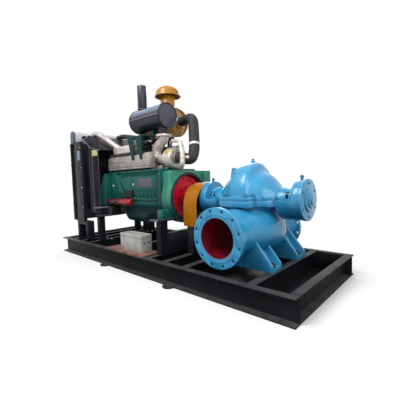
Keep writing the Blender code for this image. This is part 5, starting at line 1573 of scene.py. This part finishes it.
def exhaust_fittings():
    """Muffler seam and rims, the stack's weld and the flange bolts over the turbine."""
    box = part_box("muffler")
    axis_y = (box[0].y + box[1].y) / 2
    radius = (box[1].y - box[0].y) / 2
    axis_z = box[1].z - radius
    rims = [ring((x, axis_y, axis_z), X, radius - 0.001, 0.004) for x in (box[0].x + 0.034, box[1].x - 0.034)]
    dress(joined(rims), "muffler_rims", "muffler_grey")
    ends = [ring((x, axis_y, axis_z), X, radius - 0.005, 0.0055, 64)
            for x in (box[0].x + 0.004, box[1].x - 0.004)]
    dress(joined(ends), "muffler_end_rims", "sheet_black")
    turn = math.radians(179)  # The seam lies level with the axis, on the near side.
    y, z = axis_y + (radius + 0.001) * math.cos(turn), axis_z + (radius + 0.001) * math.sin(turn)
    seam = slab((box[0].x + 0.010, y - 0.004, z - 0.006), (box[1].x - 0.010, y + 0.003, z + 0.006), 0.002)
    dress(seam, "muffler_seam", "seam_grey")
    disc = [(-0.0015, radius - 0.015), (0.0010, radius - 0.013), (0.0020, radius - 0.015)]
    faces = [turned(disc, (x, axis_y, axis_z), X, 56) for x in (box[0].x + 0.0055, box[1].x - 0.0060)]
    dress(joined(faces), "muffler_ends", "end_grey")
    foot = low("exhaust_stack")
    stack_x = (foot.x + high("exhaust_stack").x) / 2
    dress(ring((stack_x, axis_y, foot.z + 0.006), Z, 0.062, 0.005), "stack_weld", "muffler_grey")
    bracket = low("muffler_bracket")
    legs = [((bracket.x + x, low("intake_cover").y - 0.010, bracket.z + 0.016), -Y, 0.2)
            for x in (0.116, 0.286)]
    bolt_set("bracket_bolts", legs, 0.016, "nut_dark")
    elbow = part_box("exhaust_elbow")
    middle = Vector((elbow[1].x - 0.100, axis_y, elbow[1].z))
    places = bolt_circle(middle, 0.080, 6, math.radians(20), Z)
    places += [(point - Z * 0.022, -way, spin) for point, way, spin in places]
    bolt_set("exhaust_flange_bolts", places, 0.018)


def intake_fittings():
    """Bands and clips on the air cleaner, hose clamps, the rain cap's rim and a dark disc of painted shade
    under the cap.
    """
    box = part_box("air_cleaner")
    axis_y = (box[0].y + box[1].y) / 2
    radius = (box[1].y - box[0].y) / 2
    axis_z = box[0].z + radius
    bands = [ring((x, axis_y, axis_z), X, radius - 0.004, 0.006, 56)
             for x in (box[0].x + 0.040, box[0].x + 0.300)]
    bands.append(ring((box[1].x - 0.052, axis_y, axis_z), X, radius - 0.006, 0.008, 56))
    bands.append(ring((box[1].x - 0.012, axis_y, axis_z), X, radius - 0.030, 0.007, 56))
    dress(joined(bands), "cleaner_bands", "cleaner_gold")
    hub = Vector((box[1].x - 0.085, axis_y, axis_z))
    clips = [(point, point - hub, 0.0) for point in circle(hub, radius + 0.001, 5, start=math.radians(18))]
    clip = slab((-0.010, -0.022, 0.0), (0.010, 0.022, 0.006), 0.002)
    dress(copies(clip, clips), "cleaner_clips", "zinc")
    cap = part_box("rain_cap")
    wide = (cap[1].x - cap[0].x) / 2
    middle = Vector(((cap[0].x + cap[1].x) / 2, axis_y, cap[0].z + 0.005))
    ear = slab((middle.x - wide * 0.95, axis_y - 0.012, cap[0].z + 0.045),
               (middle.x - wide * 0.80, axis_y + 0.012, cap[0].z + 0.075), 0.004)
    rim = [ring(middle, Z, wide - 0.001, 0.005, 56), ear]
    dress(joined(rim), "rain_cap_rim", "cleaner_gold")
    # A dark brown disc under the cap paints the shade beneath its brim.
    under = turned([(0.0, wide - 0.012), (0.003, wide - 0.010)], middle + Z * 0.004, Z, 48)
    dress(under, "rain_cap_shade_disc", "cap_shade")
    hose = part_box("intake_hose")
    spot = (REAR + 0.188, HALF - 0.176, HEAD_TOP + 0.020)
    way = Vector((0.093, -0.090, -0.340)).normalized()
    white = turned([(-0.015, 0.0663), (-0.014, 0.0675), (0.014, 0.0675), (0.015, 0.0663)], spot, way, 32)
    dress(white, "hose_band", "band_white")
    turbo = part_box("turbocharger")
    inlet = (turbo[1].x + 0.014, (turbo[0].y + turbo[1].y) / 2, turbo[1].z - 0.122)
    clamps = [ring(place, X, 0.0665, 0.004)
              for place in ((box[1].x + 0.022, axis_y, axis_z), (hose[0].x + 0.010, axis_y, axis_z), inlet)]
    dress(joined(clamps), "hose_clamps", "zinc")


# Stage.

def camera():
    """The photograph's viewpoint."""
    data = bpy.data.cameras.new("camera")
    data.sensor_width = 36.0
    data.lens = LENS
    data.clip_end = 100.0
    thing = bpy.data.objects.new("camera", data)
    bpy.context.scene.collection.objects.link(thing)
    ahead = Vector((-math.sin(YAW) * math.cos(PITCH), math.cos(YAW) * math.cos(PITCH), -math.sin(PITCH)))
    right = Vector((math.cos(YAW), math.sin(YAW), 0))
    up = right.cross(ahead)
    rolled_right = right * math.cos(ROLL) + up * math.sin(ROLL)
    rolled_up = up * math.cos(ROLL) - right * math.sin(ROLL)
    matrix = Matrix((rolled_right, rolled_up, -ahead)).transposed().to_4x4()
    matrix.translation = Vector(EYE)
    thing.matrix_world = matrix
    bpy.context.scene.camera = thing


def white_floor():
    """A pale floor that keeps the set's shadow, throws little light back and runs out into plain white."""
    bpy.ops.object.select_all(action="DESELECT")
    bpy.ops.mesh.primitive_plane_add(size=120.0, location=(0, 0, -0.0005))
    floor = settle()
    floor.name = "floor"
    paint = Finish("floor_white")
    paint.set(Base_Color=(0.88, 0.88, 0.88), Roughness=0.9)
    paint.shader.inputs["Specular IOR Level"].default_value = 0.0
    away = paint.node("ShaderNodeVectorMath", {"operation": "LENGTH"}, {0: paint.stretched((1.0, 1.2, 0.0))},
                      out=1)
    white = paint.tree.nodes.new("ShaderNodeEmission")
    white.inputs["Color"].default_value = (1.0, 1.0, 1.0, 1.0)
    white.inputs["Strength"].default_value = 1.0
    seen, mirrored, passed = [paint.node("ShaderNodeLightPath", out=ray) for ray in BACKGROUND_RAYS]
    dull = paint.tree.nodes.new("ShaderNodeBsdfDiffuse")
    dull.inputs["Color"].default_value = (0.34, 0.34, 0.34, 1.0)
    lit = paint.tree.nodes.new("ShaderNodeMixShader")
    paint.feed(lit.inputs[0], seen)
    paint.tree.links.new(dull.outputs[0], lit.inputs[1])
    paint.tree.links.new(paint.shader.outputs[0], lit.inputs[2])
    mix = paint.tree.nodes.new("ShaderNodeMixShader")
    paint.feed(mix.inputs[0], away.ramp(SHADOW_REACH, WHITE_FROM) * seen.most(mirrored).most(passed))
    paint.tree.links.new(lit.outputs[0], mix.inputs[1])
    paint.tree.links.new(white.outputs[0], mix.inputs[2])
    paint.tree.links.new(mix.outputs[0], paint.output.inputs[0])
    floor.data.materials.append(paint.material)


def white_world():
    """Soft light from all round, seen as plain white by the camera and in reflections."""
    world = bpy.data.worlds.new("studio")
    bpy.context.scene.world = world
    world.use_nodes = True
    tree = world.node_tree
    tree.nodes.clear()
    output = tree.nodes.new("ShaderNodeOutputWorld")
    soft = tree.nodes.new("ShaderNodeBackground")
    soft.inputs["Color"].default_value = (0.94, 0.97, 1.0, 1.0)
    soft.inputs["Strength"].default_value = 0.55
    white = tree.nodes.new("ShaderNodeBackground")
    white.inputs["Color"].default_value = (1.0, 1.0, 1.0, 1.0)
    white.inputs["Strength"].default_value = 1.0
    path = tree.nodes.new("ShaderNodeLightPath")
    share = path.outputs[BACKGROUND_RAYS[0]]
    for ray in BACKGROUND_RAYS[1:]:
        either = tree.nodes.new("ShaderNodeMath")
        either.operation = "MAXIMUM"
        tree.links.new(share, either.inputs[0])
        tree.links.new(path.outputs[ray], either.inputs[1])
        share = either.outputs[0]
    mix = tree.nodes.new("ShaderNodeMixShader")
    tree.links.new(share, mix.inputs[0])
    tree.links.new(soft.outputs[0], mix.inputs[1])
    tree.links.new(white.outputs[0], mix.inputs[2])
    tree.links.new(mix.outputs[0], output.inputs[0])


def lamp(name, place, target, size, power, colour=(1, 1, 1)):
    """One large soft lamp."""
    data = bpy.data.lights.new(name, "AREA")
    data.size = size
    data.energy = power
    data.color = colour
    thing = bpy.data.objects.new(name, data)
    bpy.context.scene.collection.objects.link(thing)
    thing.location = place
    thing.rotation_euler = (Vector(target) - Vector(place)).to_track_quat("-Z", "Y").to_euler()


def studio_lamps():
    """Key, fill and back lamps, all large and soft."""
    lamp("key", (-0.5, -4.5, 6.5), (0.2, 0, 0.6), 3.5, 420)
    lamp("fill", (6.0, -2.0, 3.5), (0.5, 0, 0.8), 3.5, 150, (0.96, 0.98, 1.0))
    lamp("back", (-3.0, 5.5, 5.0), (0, 0, 0.9), 4.0, 160)


# Operators: one for each group of pieces.

class PUMPSET_OT_skid(bpy.types.Operator):
    """Paint and weld the skid channels"""
    bl_idname = "pumpset.skid"
    bl_label = "Skid"

    def execute(self, context):
        skid_skins()
        skid_welds()
        pump_bay_shade_sheet()
        return {"FINISHED"}


class PUMPSET_OT_pump(bpy.types.Operator):
    """Paint the pump and fit its nuts, bolts, plugs and grease cups"""
    bl_idname = "pumpset.pump"
    bl_label = "Pump"

    def execute(self, context):
        pump_skins()
        split_nuts()
        pump_bolts()
        gland_nuts()
        grease_points()
        return {"FINISHED"}


class PUMPSET_OT_engine(bpy.types.Operator):
    """Paint the engine and cast, bolt and pipe its block, heads and turbocharger"""
    bl_idname = "pumpset.engine"
    bl_label = "Engine"

    def execute(self, context):
        paint_nodes(ENGINE_SKINS)
        block_castings()
        block_bolts()
        case_bolts()
        block_trims()
        oil_fittings()
        head_fittings()
        exhaust_manifold()
        turbo_fittings()
        top_pipes()
        stand_bolts()
        return {"FINISHED"}


class PUMPSET_OT_drive(bpy.types.Operator):
    """Paint the flywheel, coupling, shaft and guard, and fit their bolts and edges"""
    bl_idname = "pumpset.drive"
    bl_label = "Drive"

    def execute(self, context):
        paint_nodes(DRIVE_SKINS)
        skin("flywheel", "flywheel_red", 0.0015, body=TURNING)
        skin("coupling", "satin_black", 0.0015, body=TURNING)
        skin("pump_shaft", "bright_steel", 0.0, body=TURNING)
        drive_fittings()
        return {"FINISHED"}


class PUMPSET_OT_battery(bpy.types.Operator):
    """Finish the battery box and the board under it"""
    bl_idname = "pumpset.battery"
    bl_label = "Battery box"

    def execute(self, context):
        paint_nodes(BOX_SKINS)
        box_fittings()
        return {"FINISHED"}


class PUMPSET_OT_radiator(bpy.types.Operator):
    """Paint the radiator and fit its core tubes, fan, belts, wire guards and cap"""
    bl_idname = "pumpset.radiator"
    bl_label = "Radiator and fan"

    def execute(self, context):
        paint_nodes(RADIATOR_SKINS)
        skin("top_tank", "top_tank", 0.003)
        skin("bottom_tank", "tank_grey", 0.003)
        cooling_fan()
        fan_grille()
        wire_guards()
        radiator_fittings()
        return {"FINISHED"}


class PUMPSET_OT_exhaust(bpy.types.Operator):
    """Paint the muffler, stack, air cleaner and hose and fit their rims, bands and clamps"""
    bl_idname = "pumpset.exhaust"
    bl_label = "Exhaust and intake"

    def execute(self, context):
        paint_nodes(EXHAUST_SKINS)
        exhaust_fittings()
        intake_fittings()
        return {"FINISHED"}


class PUMPSET_OT_stage(bpy.types.Operator):
    """Set up the pale floor, the soft lamps and the camera"""
    bl_idname = "pumpset.stage"
    bl_label = "Stage"

    def execute(self, context):
        camera()
        white_floor()
        white_world()
        studio_lamps()
        context.scene.view_settings.view_transform = "Standard"
        return {"FINISHED"}


GROUPS = (PUMPSET_OT_skid, PUMPSET_OT_pump, PUMPSET_OT_engine, PUMPSET_OT_drive, PUMPSET_OT_battery,
          PUMPSET_OT_radiator, PUMPSET_OT_exhaust, PUMPSET_OT_stage)


class PUMPSET_PT_panel(bpy.types.Panel):
    """Lists the groups of the pump set"""
    bl_idname = "PUMPSET_PT_panel"
    bl_label = "Pump set"
    bl_space_type = "VIEW_3D"
    bl_region_type = "UI"
    bl_category = "Pump set"

    def draw(self, context):
        for group in GROUPS:
            self.layout.operator(group.bl_idname)
        for settings in (context.scene.pump_set_sizes, context.scene.pump_set_colours):
            for name in settings.bl_rna.properties.keys():
                if name not in ("rna_type", "name"):
                    self.layout.prop(settings, name)


CLASSES = (PumpSetColours, PumpSetSizes, *GROUPS, PUMPSET_PT_panel)


def register():
    """Add the classes and the settings to this Blender session."""
    for item in CLASSES:
        bpy.utils.register_class(item)
    bpy.types.Scene.pump_set_colours = bpy.props.PointerProperty(type=PumpSetColours)
    bpy.types.Scene.pump_set_sizes = bpy.props.PointerProperty(type=PumpSetSizes)


def unregister():
    """Take the settings and the classes out again."""
    del bpy.types.Scene.pump_set_sizes
    del bpy.types.Scene.pump_set_colours
    for item in reversed(CLASSES):
        bpy.utils.unregister_class(item)


def main():
    """Run every group in order."""
    register()
    bpy.ops.pumpset.skid()
    bpy.ops.pumpset.pump()
    bpy.ops.pumpset.engine()
    bpy.ops.pumpset.drive()
    bpy.ops.pumpset.battery()
    bpy.ops.pumpset.radiator()
    bpy.ops.pumpset.exhaust()
    bpy.ops.pumpset.stage()


if __name__ == "__main__":
    main()
